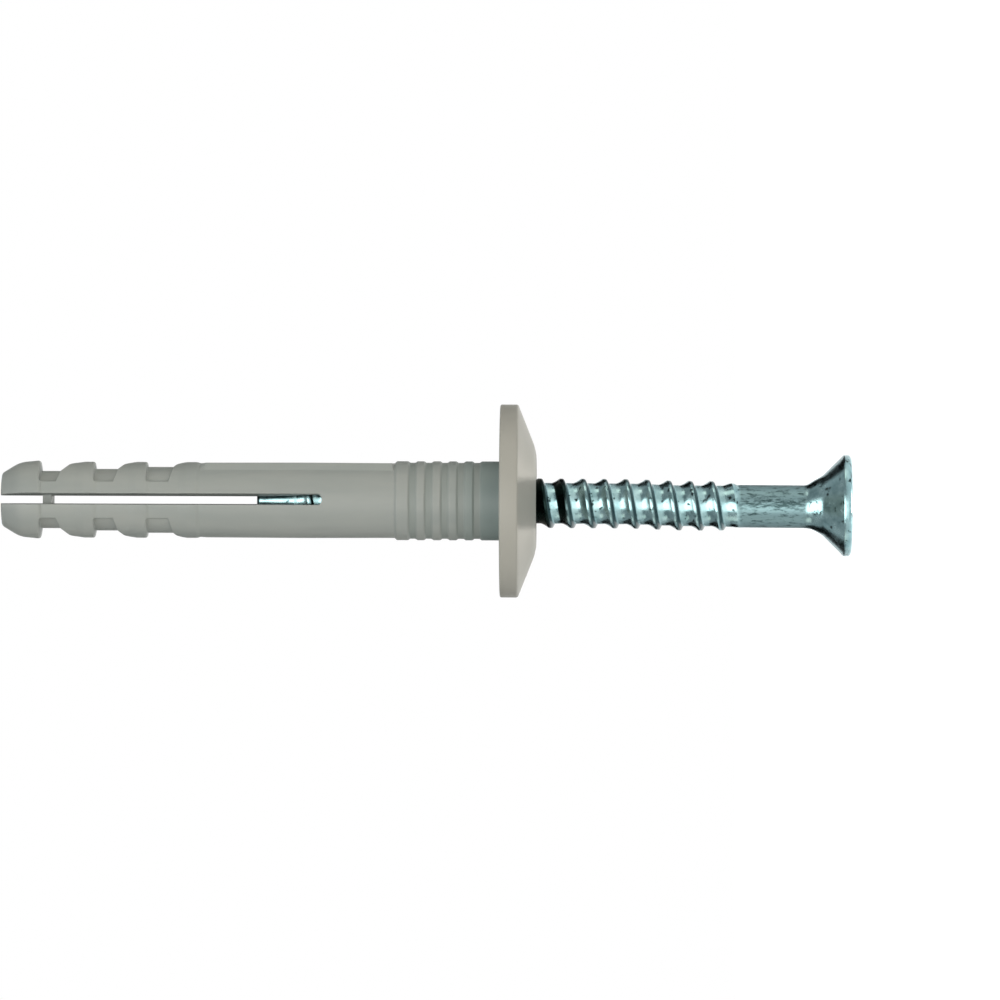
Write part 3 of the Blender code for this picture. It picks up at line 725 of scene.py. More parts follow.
def plain_corners(angle):
    """From the back of the last barb along the body and neck, round the collar, into the bore."""
    last = barb_back(POCKET_COUNT)
    rail = rail_radius(angle)
    valley = NECK_RADIUS - RIB_HEIGHT
    rib_rows = round((NECK_LENGTH - NECK_LEAD - NECK_PLATEAU) / RIB_PITCH * ROWS_PER_RIB)
    corners = [(BARB_RADIUS, last + 0.00006, 0.00014, 1), (SPINE_RADIUS, last - 0.00020, 0.00008, 1)]
    corners += [(rail, last - 0.00020 - RAIL_RAMP, 0.00008, 8)]
    corners += [(rail + BODY_SWELL, BODY_SWELL_HEIGHT, 0.001, 8)]
    corners += [(rail, NECK_LENGTH + 0.00012, 0.00004, 1), (BODY_RADIUS, NECK_LENGTH, 0.00002, 5)]
    corners += [(valley, NECK_LENGTH - NECK_LEAD, 0.00002, rib_rows)]
    corners += [(valley, NECK_PLATEAU, 0.00001, 3), (valley, 0.0, 0.00010, 4)]
    corners += [(COLLAR_RADIUS, 0.0, 0.00017, 3), (COLLAR_RADIUS, -COLLAR_RIM, 0.00014, 6)]
    corners += [(RING_OUTSIDE, -RING_START, 0.00015, 1), (RING_RADIUS, -RING_EDGE, 0.00012, 1)]
    corners.append((SEAT_RADIUS, -COLLAR_HEIGHT, 0.00006, 3))
    seat_foot = SEAT_RADIUS - BORE_RADIUS - COLLAR_HEIGHT
    corners += [(BORE_RADIUS, seat_foot, 0.00015, 6)]
    corners += [(BORE_RADIUS, POINT_HEIGHT - POINT_LENGTH, 0.0003, 4)]
    corners += [(CHANNEL_RADIUS, POINT_HEIGHT + 0.0002, 0.0003, 6)]
    corners += [(CHANNEL_RADIUS, CHANNEL_END - CHANNEL_RADIUS, 0.0002, 3)]
    corners += [(0.0002, CHANNEL_END - 0.0002, 0.0, 1)]
    return corners


def sleeve_outline(angle):
    """The whole outline of the sleeve at one angle round the axis."""
    corners = nose_corners()
    for index in range(POCKET_COUNT):
        corners += pocket_corners(index, angle)
    return eased(corners + plain_corners(angle))


print("points in one outline:", len(sleeve_outline(0.0)))

# %% Join the outlines into one skin
# More outlines stand where the rail ends and where the pockets' walls run
QUARTER = [0, 4, 8, 12, 16, 20, 23.5, 25.5, 26.5, 28, 32, 35.5, 36.6, 37.3, 38, 40, 43, 45.5, 47]
QUARTER += [48.5, 50, 51.2, 52.4, 53.6, 54.8]
QUARTER += [56, 57, 58, 59, 60, 61, 62, 63, 64.5, 66.5, 69, 72, 75, 78.5, 82, 87]


def build_sleeve_blank():
    """The skin of the sleeve before its slit is cut and its ribs are raised."""
    angles = [math.radians(angle) for angle in QUARTER]
    angles += [math.pi - angle for angle in reversed(angles[1:])]
    angles += [angle + math.pi for angle in angles]
    skin = bmesh.new()
    columns = []
    for angle in angles:
        column = []
        for radius, height in sleeve_outline(angle):
            point = (radius * math.cos(angle), radius * math.sin(angle), height + BEARING_FACE)
            column.append(skin.verts.new(point))
        columns.append(column)
    for column, after in zip(columns, columns[1:] + columns[:1]):
        for row in range(len(column) - 1):
            skin.faces.new((column[row], after[row], after[row + 1], column[row + 1]))
    skin.faces.new([column[0] for column in columns])
    skin.faces.new([column[-1] for column in columns])
    return object_from(skin, "plug_sleeve_blank", nylon)


blank = build_sleeve_blank()
print("skin:", len(blank.data.polygons), "faces")

# %% [markdown]
# ## Sleeve: ribs on the neck, with Geometry Nodes
#
# Five low ribs and a plain end under the collar wedge the neck in the mouth of the hole. Each rib has
# the same form: a flank, a flat crest and a flank. That is a rule in one number, the place within the
# rib, so Geometry Nodes raise them: the tree works out that place from the height of each vertex, turns
# it into a lift between 0 and 1 and pushes the vertex straight out from the axis. The first rib has no
# valley before it and rises straight from the body. The tree's inputs are the sizes of the ribs, so
# another neck needs only other numbers.

# %% Name the inputs of the tree
ribs = bpy.data.node_groups.new("Ribbed neck", "GeometryNodeTree")
ribs.interface.new_socket("Geometry", in_out="INPUT", socket_type="NodeSocketGeometry")
for name in ("Top of Neck", "Lead", "First Rib", "Rib Pitch", "Rib Height", "Rib Count"):
    ribs.interface.new_socket(name, in_out="INPUT", socket_type="NodeSocketFloat")
ribs.interface.new_socket("Material", in_out="INPUT", socket_type="NodeSocketMaterial")
ribs.interface.new_socket("Geometry", in_out="OUTPUT", socket_type="NodeSocketGeometry")
print("the tree for the ribs has", len(ribs.interface.items_tree) - 1, "inputs")

# %% Work out the lift from the height
given = add_node(ribs, "NodeGroupInput").outputs
point = add_node(ribs, "GeometryNodeInputPosition").outputs[0]
parts = add_node(ribs, "ShaderNodeSeparateXYZ", None, {0: point}).outputs
neck_depth = add_node(ribs, "ShaderNodeMath", {"operation": "SUBTRACT"},
                      {0: given["Top of Neck"], 1: parts["Z"]}).outputs[0]
lead = add_node(ribs, "ShaderNodeMapRange", {"interpolation_type": "SMOOTHSTEP"},
                {"Value": neck_depth, "From Min": 0.0, "From Max": given["Lead"]}).outputs[0]
depth = add_node(ribs, "ShaderNodeMath", {"operation": "SUBTRACT"},
                 {0: given["First Rib"], 1: parts["Z"]}).outputs[0]
count = add_node(ribs, "ShaderNodeMath", {"operation": "DIVIDE"},
                 {0: depth, 1: given["Rib Pitch"]}).outputs[0]
within = add_node(ribs, "ShaderNodeMath", {"operation": "FRACT"}, {0: count}).outputs[0]
flank_up = add_node(ribs, "ShaderNodeMapRange", {"interpolation_type": "SMOOTHSTEP"},
                    {"Value": within, "From Min": RIB_FLANK_START,
                     "From Max": RIB_CREST_START}).outputs[0]
on_first = add_node(ribs, "ShaderNodeMath", {"operation": "LESS_THAN"}, {0: count, 1: 0.5}).outputs[0]
rising = add_node(ribs, "ShaderNodeMath", {"operation": "MAXIMUM"},
                  {0: flank_up, 1: on_first}).outputs[0]
flank_down = add_node(ribs, "ShaderNodeMapRange", {"interpolation_type": "SMOOTHSTEP"},
                      {"Value": within, "From Min": RIB_CREST_END, "From Max": RIB_FOOT,
                       "To Min": 1.0, "To Max": 0.0}).outputs[0]
before_first = add_node(ribs, "ShaderNodeMath", {"operation": "LESS_THAN"},
                        {0: count, 1: 0.0}).outputs[0]
falling = add_node(ribs, "ShaderNodeMath", {"operation": "MAXIMUM"},
                   {0: flank_down, 1: before_first}).outputs[0]
lift = add_node(ribs, "ShaderNodeMath", {"operation": "MINIMUM"}, {0: rising, 1: falling}).outputs[0]
# Past the flank of the last rib the neck keeps its full radius down to the collar
plateau_start = add_node(ribs, "ShaderNodeMath", {"operation": "ADD"},
                         {0: given["Rib Count"], 1: RIB_CREST_START}).outputs[0]
plateau = add_node(ribs, "ShaderNodeMath", {"operation": "GREATER_THAN"},
                   {0: count, 1: plateau_start}).outputs[0]
raised = add_node(ribs, "ShaderNodeMath", {"operation": "MAXIMUM"}, {0: lift, 1: plateau}).outputs[0]
led = add_node(ribs, "ShaderNodeMath", {"operation": "MINIMUM"}, {0: raised, 1: lead}).outputs[0]
amount = add_node(ribs, "ShaderNodeMath", {"operation": "MULTIPLY"},
                  {0: led, 1: given["Rib Height"]}).outputs[0]
print("nodes for the lift:", len(ribs.nodes))

# %% Push the vertices of the neck outwards
CLEAR_OF_BORE = 0.0003
CLEAR_OF_NECK = 0.00005
CLEAR_OF_FACE = 0.00001

flat = add_node(ribs, "ShaderNodeCombineXYZ", None, {"X": parts["X"], "Y": parts["Y"]}).outputs[0]
outwards = add_node(ribs, "ShaderNodeVectorMath", {"operation": "NORMALIZE"}, {0: flat}).outputs[0]
push = add_node(ribs, "ShaderNodeVectorMath", {"operation": "SCALE"},
                {0: outwards, "Scale": amount}).outputs[0]
# Only the outside of the neck moves: it lies under the top of the ribs and above the bearing face
radius = add_node(ribs, "ShaderNodeVectorMath", {"operation": "LENGTH"}, {0: flat}).outputs["Value"]
outside = add_node(ribs, "FunctionNodeCompare", {"operation": "GREATER_THAN"},
                   {0: radius, 1: BORE_RADIUS + CLEAR_OF_BORE}).outputs[0]
slender = add_node(ribs, "FunctionNodeCompare", {"operation": "LESS_THAN"},
                   {0: radius, 1: NECK_RADIUS + CLEAR_OF_NECK}).outputs[0]
under_top = add_node(ribs, "FunctionNodeCompare", {"operation": "GREATER_THAN"},
                     {0: neck_depth, 1: 0.0}).outputs[0]
above_collar = add_node(ribs, "FunctionNodeCompare", {"operation": "GREATER_THAN"},
                        {0: parts["Z"], 1: BEARING_FACE - CLEAR_OF_FACE}).outputs[0]
on_skin = add_node(ribs, "FunctionNodeBooleanMath", {"operation": "AND"},
                   {0: outside, 1: slender}).outputs[0]
on_length = add_node(ribs, "FunctionNodeBooleanMath", {"operation": "AND"},
                     {0: under_top, 1: above_collar}).outputs[0]
chosen = add_node(ribs, "FunctionNodeBooleanMath", {"operation": "AND"},
                  {0: on_skin, 1: on_length}).outputs[0]
# How far each point lies below the crest is kept, for the painted shade in the valleys
sunk = add_node(ribs, "ShaderNodeMath", {"operation": "SUBTRACT"}, {0: 1.0, 1: raised}).outputs[0]
valley = add_node(ribs, "ShaderNodeMath", {"operation": "MULTIPLY"}, {0: sunk, 1: chosen}).outputs[0]
marked = add_node(ribs, "GeometryNodeStoreNamedAttribute", {"data_type": "FLOAT", "domain": "POINT"},
                  {"Geometry": given["Geometry"], "Name": "rib_valley", "Value": valley}).outputs[0]
moved = add_node(ribs, "GeometryNodeSetPosition", None,
                 {"Geometry": marked, "Selection": chosen, "Offset": push}).outputs[0]
whole = add_node(ribs, "GeometryNodeRealizeInstances", None, {"Geometry": moved}).outputs[0]
coated = add_node(ribs, "GeometryNodeSetMaterial", None,
                  {"Geometry": whole, "Material": given["Material"]}).outputs[0]
add_node(ribs, "NodeGroupOutput", None, {"Geometry": coated})
print("nodes in the tree for the ribs:", len(ribs.nodes))


# %% Run the tree on the blank
def run_tree(thing, tree, values):
    """Run a Geometry Nodes tree on an object with the given inputs, and keep the result as a mesh."""
    step = thing.modifiers.new(tree.name, "NODES")
    step.node_group = tree
    for socket in tree.interface.items_tree:
        if socket.item_type == "SOCKET" and socket.in_out == "INPUT" and socket.name in values:
            step[socket.identifier] = values[socket.name]
    thing.data = as_mesh(thing)
    thing.modifiers.clear()


def as_mesh(thing):
    """The object's mesh with its modifiers worked out."""
    bpy.context.view_layer.update()
    depsgraph = bpy.context.evaluated_depsgraph_get()
    return bpy.data.meshes.new_from_object(thing.evaluated_get(depsgraph))


run_tree(blank, ribs, {
    "Top of Neck": BEARING_FACE + NECK_LENGTH,
    "Lead": NECK_LEAD,
    "First Rib": BEARING_FACE + FIRST_RIB,
    "Rib Pitch": RIB_PITCH,
    "Rib Height": RIB_HEIGHT,
    "Rib Count": float(RIB_COUNT),
    "Material": nylon,
})
print("ribs every", round(RIB_PITCH * 1000, 2), "mm")

# %% [markdown]
# ## Sleeve: slit and web
#
# A blade in the mould leaves the slit, and a small gap in that blade leaves the web that holds the legs
# together. The blade has draft: it is thinnest in the middle and wider at the skin, more so above than
# below. So the slit is cut here by one tool with that gap in it: a Boolean takes it away from the skin.
# The faces that it leaves carry a second material slot for a moment. Only the edges between them and
# the skin are still sharp: they get a bevel weight, and a Bevel modifier rounds them slightly.

# %% Build the blade that forms the slit
SLIT_HALF = 0.00031
SLIT_LENGTH = 0.02575
WEB_FROM_NOSE = 0.00336
WEB_LENGTH = 0.0007
WEB_HALF_DEPTH = 0.0017
DRAFT_START = 0.0012
DRAFT_END = 0.0050
DRAFT_UPPER = 0.00050
DRAFT_LOWER = 0.00014
BLADE_OVERRUN = 0.001
BLADE_STEPS = 12


def add_blade(target, outline, sections):
    """A closed blade along Y. Its outline is (across, height), its sections are (place, upper, lower):
    how far the outline's upper and lower sides are moved outwards at that place."""
    rings = []
    for place, upper, lower in sections:
        ring = []
        for across, height in outline:
            wider = upper if across > 0 else -lower
            ring.append(target.verts.new((across + wider * min(abs(across) / SLIT_HALF, 1.0),
                                          place, height)))
        rings.append(ring)
    target.faces.new(rings[0])
    target.faces.new(rings[-1][::-1])
    for near, far in zip(rings, rings[1:]):
        for index in range(len(outline)):
            after = (index + 1) % len(outline)
            target.faces.new((near[after], near[index], far[index], far[after]))


def build_slit_blade():
    """The blade that forms the slit, with the gap that leaves the web."""
    top = BEARING_FACE + SLEEVE_LENGTH + BLADE_OVERRUN
    web_top = BEARING_FACE + SLEEVE_LENGTH - WEB_FROM_NOSE
    web_foot = web_top - WEB_LENGTH
    end = BEARING_FACE + SLEEVE_LENGTH - SLIT_LENGTH + SLIT_HALF
    round_end = []
    for step in range(BLADE_STEPS + 1):
        turn = math.pi + math.pi * step / BLADE_STEPS
        round_end.append((SLIT_HALF * math.cos(turn), end + SLIT_HALF * math.sin(turn)))
    sections = [(-DRAFT_END, DRAFT_UPPER, DRAFT_LOWER), (-DRAFT_START, 0.0, 0.0)]
    sections += [(DRAFT_START, 0.0, 0.0), (DRAFT_END, DRAFT_UPPER, DRAFT_LOWER)]
    blade = bmesh.new()
    add_blade(blade, [(SLIT_HALF, top), (-SLIT_HALF, top)] + round_end, sections)
    main = object_from(blade, "blade", nylon)
    gap = bmesh.new()
    wide = SLIT_HALF * 3
    corners = [(wide, web_top), (-wide, web_top), (-wide, web_foot), (wide, web_foot)]
    add_blade(gap, corners, [(-WEB_HALF_DEPTH, 0.0, 0.0), (WEB_HALF_DEPTH, 0.0, 0.0)])
    hole = object_from(gap, "gap", nylon)
    subtract(main, hole)
    main.data.materials.append(zinc)
    for face in main.data.polygons:
        face.material_index = 1
    return main


def subtract(target, tool):
    """Take the tool's shape away from the target, and put the tool aside."""
    step = target.modifiers.new("cut", "BOOLEAN")
    step.operation = "DIFFERENCE"
    step.solver = "EXACT"
    step.object = tool
    target.data = as_mesh(target)
    target.modifiers.clear()
    bpy.data.objects.remove(tool, do_unlink=True)


slit_blade = build_slit_blade()
print("blade:", len(slit_blade.data.polygons), "faces")

# %% Cut the slit and choose the edges to round
# Edges that lie deeper than this radius, in the slit, stay sharp
ROUNDED_OUTSIDE = 0.0024

sleeve = blank
sleeve.name = "plug_sleeve_skin"
sleeve.data.materials.append(zinc)
subtract(sleeve, slit_blade)

skin = bmesh.new()
skin.from_mesh(sleeve.data)
bmesh.ops.remove_doubles(skin, verts=skin.verts, dist=2e-6)
bmesh.ops.dissolve_degenerate(skin, edges=skin.edges, dist=1e-7)
weights = skin.edges.layers.float.new("bevel_weight_edge")
rounded = 0
for edge in skin.edges:
    slots = sorted(face.material_index for face in edge.link_faces)
    far_out = all(Vector(vertex.co[:2]).length > ROUNDED_OUTSIDE for vertex in edge.verts)
    if slots == [0, 1] and far_out:
        edge[weights] = 1.0
        rounded += 1
for face in skin.faces:
    face.material_index = 0
skin.to_mesh(sleeve.data)
skin.free()
sleeve.data.materials.pop(index=1)
print("edges of the slit to round:", rounded)

# %% Round the edges of the slit
SLIT_EASE = 0.00005

bevel = sleeve.modifiers.new("rounded slit", "BEVEL")
bevel.limit_method = "WEIGHT"
bevel.width = SLIT_EASE
bevel.segments = 3
bevel.use_clamp_overlap = True
sleeve.data = as_mesh(sleeve)
sleeve.modifiers.clear()
print("sleeve with its slit:", len(sleeve.data.polygons), "faces")


# %% Finish the skin of the sleeve
def finish_mesh(thing, sharp_degrees):
    """Merge, turn the faces outwards, shade smooth between sharp edges, and count open edges."""
    skin = bmesh.new()
    skin.from_mesh(thing.data)
    bmesh.ops.remove_doubles(skin, verts=skin.verts, dist=5e-7)
    bmesh.ops.dissolve_degenerate(skin, edges=skin.edges, dist=1e-8)
    bmesh.ops.recalc_face_normals(skin, faces=skin.faces)
    open_edges = sum(1 for edge in skin.edges if len(edge.link_faces) != 2)
    triangles = sum(len(face.verts) - 2 for face in skin.faces)
    skin.to_mesh(thing.data)
    skin.free()
    thing.data.shade_smooth()
    thing.data.set_sharp_from_angle(angle=math.radians(sharp_degrees))
    print(thing.name, "triangles:", triangles, "open edges:", open_edges)


finish_mesh(sleeve, sharp_degrees=38)

# %% [markdown]
# ## Nail: head, shank and point
#
# The nail is turned round its axis like the sleeve, but its outline is the same at every angle: a flat
# head with an eased edge, a short land, the 90 degree cone, a narrower throat that runs out into the
# shank in a soft fillet, and at the other end a blunt point. The thread between the two comes from
# Geometry Nodes, so this mesh has two open rings that wait for it.
#
# The cross recess is type Z: four arms with nearly square ends, and between each two a small notch at 45
# degrees. A punch forms it, and leaves the edge slightly drawn in. It is built as four copies of the
# same outline, one below the other, and filled against the round edge of the head.

# %% Sizes of the nail
SCREW_SIDES = 96
HEAD_RADIUS = 0.00407
HEAD_FLAT_RADIUS = 0.00345
HEAD_EDGE_HEIGHT = 0.00026
HEAD_LAND = 0.00038
HEAD_STEPS = 6
THROAT_RADIUS = 0.00235
THROAT_TAPER = math.radians(28)
THROAT_FILLET = 0.0014
FILLET_STEPS = 8
FINE_EASE = 0.00003
SHANK_RADIUS = 0.00172
CORE_RADIUS = 0.001635
POINT_RADIUS = 0.0008
POINT_CHAMFER = 0.0002
SCREW_LENGTH = 0.0477
THREAD_PITCH = 0.00172
THREAD_START = 0.00861
THREAD_RUNOUT = 0.0022
THREAD_HEIGHT = 0.000365
POINT_START = SCREW_LENGTH - POINT_LENGTH
# Whole turns, the last of which ends a little before the chamfer of the point
THREAD_ROOM = SCREW_LENGTH - POINT_CHAMFER - THREAD_START + THREAD_PITCH
THREAD_TURNS = math.floor(THREAD_ROOM / THREAD_PITCH - 1.05)
THREAD_END = THREAD_START - THREAD_PITCH + THREAD_PITCH * THREAD_TURNS
print("thread turns:", THREAD_TURNS)

# %% Sizes of the cross recess
RECESS_REACH = 0.0021
RECESS_ARM_HALF = 0.000525
RECESS_DEPTH = 0.0022
RECESS_TAPER = math.tan(math.radians(18))
RECESS_TURN = math.radians(66)
NOTCH_REACH = 0.0014
NOTCH_HALF = 0.00025
NOTCH_TAPER = math.tan(math.radians(8))
DRAWN_IN = ((0.0, 0.00007), (0.00003, 0.00003), (0.0001, 0.0), (RECESS_DEPTH, 0.0))
RECESS_BOTTOM = 0.0004
print("recess, mm:", RECESS_REACH * 2000, "across its arms")


# %% Draw the outlines of head, point and recess
def head_corners():
    """From the flat of the head over its edge, land and cone to the plain shank."""
    corners = [(HEAD_FLAT_RADIUS, 0.0, 0.0, 1)]
    width = HEAD_RADIUS - HEAD_FLAT_RADIUS
    for step in range(1, HEAD_STEPS):
        turn = math.pi / 2 * step / HEAD_STEPS
        corners.append((HEAD_FLAT_RADIUS + width * math.sin(turn),
                        HEAD_EDGE_HEIGHT * (1 - math.cos(turn)), FINE_EASE, 1))
    corners.append((HEAD_RADIUS, HEAD_EDGE_HEIGHT, 0.00005, 2))
    cone_start = HEAD_EDGE_HEIGHT + HEAD_LAND
    corners.append((HEAD_RADIUS, cone_start, 0.00008, 4))
    throat = cone_start + HEAD_RADIUS - THROAT_RADIUS
    corners.append((THROAT_RADIUS, throat, 0.00025, 2))
    foot_radius = SHANK_RADIUS + THROAT_FILLET * (1 - math.cos(THROAT_TAPER))
    foot = throat + (THROAT_RADIUS - foot_radius) / math.tan(THROAT_TAPER)
    fillet_top = foot + THROAT_FILLET * math.sin(THROAT_TAPER)
    for step in range(FILLET_STEPS + 1):
        turn = THROAT_TAPER * (1 - step / FILLET_STEPS)
        corners.append((SHANK_RADIUS + THROAT_FILLET * (1 - math.cos(turn)),
                        fillet_top - THROAT_FILLET * math.sin(turn), FINE_EASE, 1))
    corners.append((SHANK_RADIUS, THREAD_START, 0.0, 1))
    return corners


def point_corners():
    """From the end of the thread over the chamfer to the flat tip."""
    share = (THREAD_END - POINT_START) / POINT_LENGTH
    start = CORE_RADIUS + (POINT_RADIUS - CORE_RADIUS) * share
    low = SCREW_LENGTH - POINT_CHAMFER
    share = (low - POINT_START) / POINT_LENGTH
    middle = CORE_RADIUS + (POINT_RADIUS - CORE_RADIUS) * share
    corners = [(start, THREAD_END, 0.0, 1), (middle, low, 0.00005, 1)]
    corners.append((middle - POINT_CHAMFER, SCREW_LENGTH, 0.0, 1))
    return corners


def recess_ring(depth, grow):
    """One outline of the cross recess, at a depth and drawn outwards by a small amount."""
    reach = RECESS_REACH - depth * RECESS_TAPER + grow
    notch = NOTCH_REACH - depth * NOTCH_TAPER + grow
    arm = RECESS_ARM_HALF + grow
    slot = NOTCH_HALF + grow * 0.6
    mouth = arm + slot * math.sqrt(2)
    near = (notch - slot) / math.sqrt(2)
    far = (notch + slot) / math.sqrt(2)
    corners = [(reach, -arm), (reach, arm), (mouth, arm), (far, near), (near, far), (arm, mouth)]
    ring = []
    for index in range(4):
        turn = Matrix.Rotation(index * math.pi / 2 + RECESS_TURN, 2)
        ring += [turn @ Vector(corner) for corner in corners]
    return ring


print("points in one outline of the recess:", len(recess_ring(0.0, 0.0)))


# %% Build the head, the shank and the point
def add_lathe(target, outline, sides):
    """Turn an outline of (radius, height) round Z and give back its rings of vertices."""
    rings = []
    for radius, height in outline:
        ring = []
        for side in range(sides):
            angle = 2 * math.pi * side / sides
            place = (radius * math.cos(angle), radius * math.sin(angle), height)
            ring.append(target.verts.new(place))
        rings.append(ring)
    for low, high in zip(rings, rings[1:]):
        for side in range(sides):
            after = (side + 1) % sides
            target.faces.new((low[side], low[after], high[after], high[side]))
    return rings


def build_nail_ends():
    """Head with its recess, plain shank and point, with the thread's place left open."""
    ends = bmesh.new()
    add_lathe(ends, eased(head_corners()), SCREW_SIDES)
    point = add_lathe(ends, eased(point_corners()), SCREW_SIDES)
    ends.faces.new(point[-1])
    rings = []
    for depth, grow in DRAWN_IN:
        rings.append([ends.verts.new((*corner, depth)) for corner in recess_ring(depth, grow)])
    count = len(rings[0])
    for low, high in zip(rings, rings[1:]):
        for index in range(count):
            after = (index + 1) % count
            ends.faces.new((low[index], low[after], high[after], high[index]))
    bottom = ends.verts.new((0, 0, RECESS_DEPTH + RECESS_BOTTOM))
    for index in range(count):
        ends.faces.new((rings[-1][index], rings[-1][(index + 1) % count], bottom))
    border = [edge for edge in ends.edges if len(edge.link_faces) == 1
              and edge.verts[0].co.z < 1e-7 and edge.verts[1].co.z < 1e-7]
    bmesh.ops.triangle_fill(ends, edges=border, use_beauty=True, normal=(0, 0, -1))
    return object_from(ends, "nail_screw_skin", zinc)


nail = build_nail_ends()
print("head, shank and point:", len(nail.data.polygons), "faces")

# %% [markdown]
# ## Nail: the rolled thread, with Geometry Nodes
#
# Flat dies roll the thread: they press the root in and squeeze the crest out, so the crest is narrow and
# the root is smooth. Towards the head the flank is steep and bites; towards the point it is long, so
# that the nail slides in under the hammer.
#
# The tree starts from a flat grid. One side of the grid becomes the turn round the axis and the other
# climbs it, and each row is lifted by one pitch over a full turn. So every row is a helix, and the
# crest is one clean row of edges instead of steps. The place within a turn gives the lift, two ramps
# fade it out at the shank and at the point, and the seams are merged.

# %% Name the inputs of the tree for the thread
thread = bpy.data.node_groups.new("Rolled thread", "GeometryNodeTree")
thread.interface.new_socket("Geometry", in_out="INPUT", socket_type="NodeSocketGeometry")
for name in ("Columns", "Rows", "Turns"):
    thread.interface.new_socket(name, in_out="INPUT", socket_type="NodeSocketInt")
for name in ("Start", "End", "Pitch", "Thread Height", "Shank Radius", "Core Radius",
             "Point Radius", "Run-out", "Point Start", "Nail Length", "Band Low", "Band High",
             "Full Band Low", "Full Band High", "Band End"):
    thread.interface.new_socket(name, in_out="INPUT", socket_type="NodeSocketFloat")
thread.interface.new_socket("Material", in_out="INPUT", socket_type="NodeSocketMaterial")
thread.interface.new_socket("Geometry", in_out="OUTPUT", socket_type="NodeSocketGeometry")
print("the tree for the thread has", len(thread.interface.items_tree) - 1, "inputs")

# %% Turn the flat grid into places on the helix
given = add_node(thread, "NodeGroupInput").outputs
grid = add_node(thread, "GeometryNodeMeshGrid", None,
                {"Size X": 1.0, "Size Y": 1.0, "Vertices X": given["Columns"],
                 "Vertices Y": given["Rows"]}).outputs["Mesh"]
where = add_node(thread, "GeometryNodeInputPosition").outputs[0]
parts = add_node(thread, "ShaderNodeSeparateXYZ", None, {0: where}).outputs
round_share = add_node(thread, "ShaderNodeMath", {"operation": "ADD"},
                       {0: parts["X"], 1: 0.5}).outputs[0]
climb_share = add_node(thread, "ShaderNodeMath", {"operation": "ADD"},
                       {0: parts["Y"], 1: 0.5}).outputs[0]
climb = add_node(thread, "ShaderNodeMath", {"operation": "MULTIPLY"},
                 {0: climb_share, 1: given["Turns"]}).outputs[0]
turns = add_node(thread, "ShaderNodeMath", {"operation": "ADD"}, {0: round_share, 1: climb}).outputs[0]
foot = add_node(thread, "ShaderNodeMath", {"operation": "SUBTRACT"},
                {0: given["Start"], 1: given["Pitch"]}).outputs[0]
free_height = add_node(thread, "ShaderNodeMath", {"operation": "MULTIPLY_ADD"},
                       {0: turns, 1: given["Pitch"], 2: foot}).outputs[0]
height = add_node(thread, "ShaderNodeClamp", None,
                  {"Value": free_height, "Min": given["Start"], "Max": given["End"]}).outputs[0]
print("nodes for the helix:", len(thread.nodes))

# %% Give the thread its flanks
# Shares of one pitch, from the root over the steep flank and the crest to the end of the long flank
ROOT_SHARE = 0.35
STEEP_END = 0.45
CREST_END = 0.60
LONG_FLANK_HOLLOW = 1.5
CREST_ROUND = 0.12

within = add_node(thread, "ShaderNodeMath", {"operation": "FRACT"}, {0: climb}).outputs[0]
steep = add_node(thread, "ShaderNodeMapRange", {"interpolation_type": "LINEAR"},
                 {"Value": within, "From Min": ROOT_SHARE, "From Max": STEEP_END}).outputs[0]
slide = add_node(thread, "ShaderNodeMapRange", {"interpolation_type": "LINEAR"},
                 {"Value": within, "From Min": CREST_END, "From Max": 1.0, "To Min": 1.0,
                  "To Max": 0.0}).outputs[0]
hollow = add_node(thread, "ShaderNodeMath", {"operation": "POWER"},
                  {0: slide, 1: LONG_FLANK_HOLLOW}).outputs[0]
form = add_node(thread, "ShaderNodeMath", {"operation": "SMOOTH_MIN"},
                {0: steep, 1: hollow, 2: CREST_ROUND}).outputs[0]
out_of_shank = add_node(thread, "ShaderNodeMath", {"operation": "ADD"},
                        {0: given["Start"], 1: given["Run-out"]}).outputs[0]
rise = add_node(thread, "ShaderNodeMapRange", {"interpolation_type": "SMOOTHSTEP"},
                {"Value": height, "From Min": given["Start"], "From Max": out_of_shank}).outputs[0]
fall = add_node(thread, "ShaderNodeMapRange", {"interpolation_type": "LINEAR"},
                {"Value": height, "From Min": given["Point Start"], "From Max": given["End"],
                 "To Min": 1.0, "To Max": 0.0}).outputs[0]
fade = add_node(thread, "ShaderNodeMath", {"operation": "MINIMUM"}, {0: rise, 1: fall}).outputs[0]
lift = add_node(thread, "ShaderNodeMath", {"operation": "MULTIPLY"}, {0: form, 1: fade}).outputs[0]
stem = add_node(thread, "ShaderNodeMapRange", {"interpolation_type": "SMOOTHSTEP"},
                {"Value": height, "From Min": given["Start"], "From Max": out_of_shank,
                 "To Min": given["Shank Radius"], "To Max": given["Core Radius"]}).outputs[0]
tapered = add_node(thread, "ShaderNodeMapRange", {"interpolation_type": "LINEAR"},
                   {"Value": height, "From Min": given["Point Start"],
                    "From Max": given["Nail Length"], "To Min": given["Core Radius"],
                    "To Max": given["Point Radius"]}).outputs[0]
on_point = add_node(thread, "ShaderNodeMath", {"operation": "GREATER_THAN"},
                    {0: height, 1: given["Point Start"]}).outputs[0]
core = add_node(thread, "ShaderNodeMix", {"data_type": "FLOAT"},
                {"Factor": on_point, "A": stem, "B": tapered}).outputs["Result"]
radius = add_node(thread, "ShaderNodeMath", {"operation": "MULTIPLY_ADD"},
                  {0: lift, 1: given["Thread Height"], 2: core}).outputs[0]
angle = add_node(thread, "ShaderNodeMath", {"operation": "MULTIPLY"},
                 {0: round_share, 1: 2 * math.pi}).outputs[0]
cosine = add_node(thread, "ShaderNodeMath", {"operation": "COSINE"}, {0: angle}).outputs[0]
sine = add_node(thread, "ShaderNodeMath", {"operation": "SINE"}, {0: angle}).outputs[0]
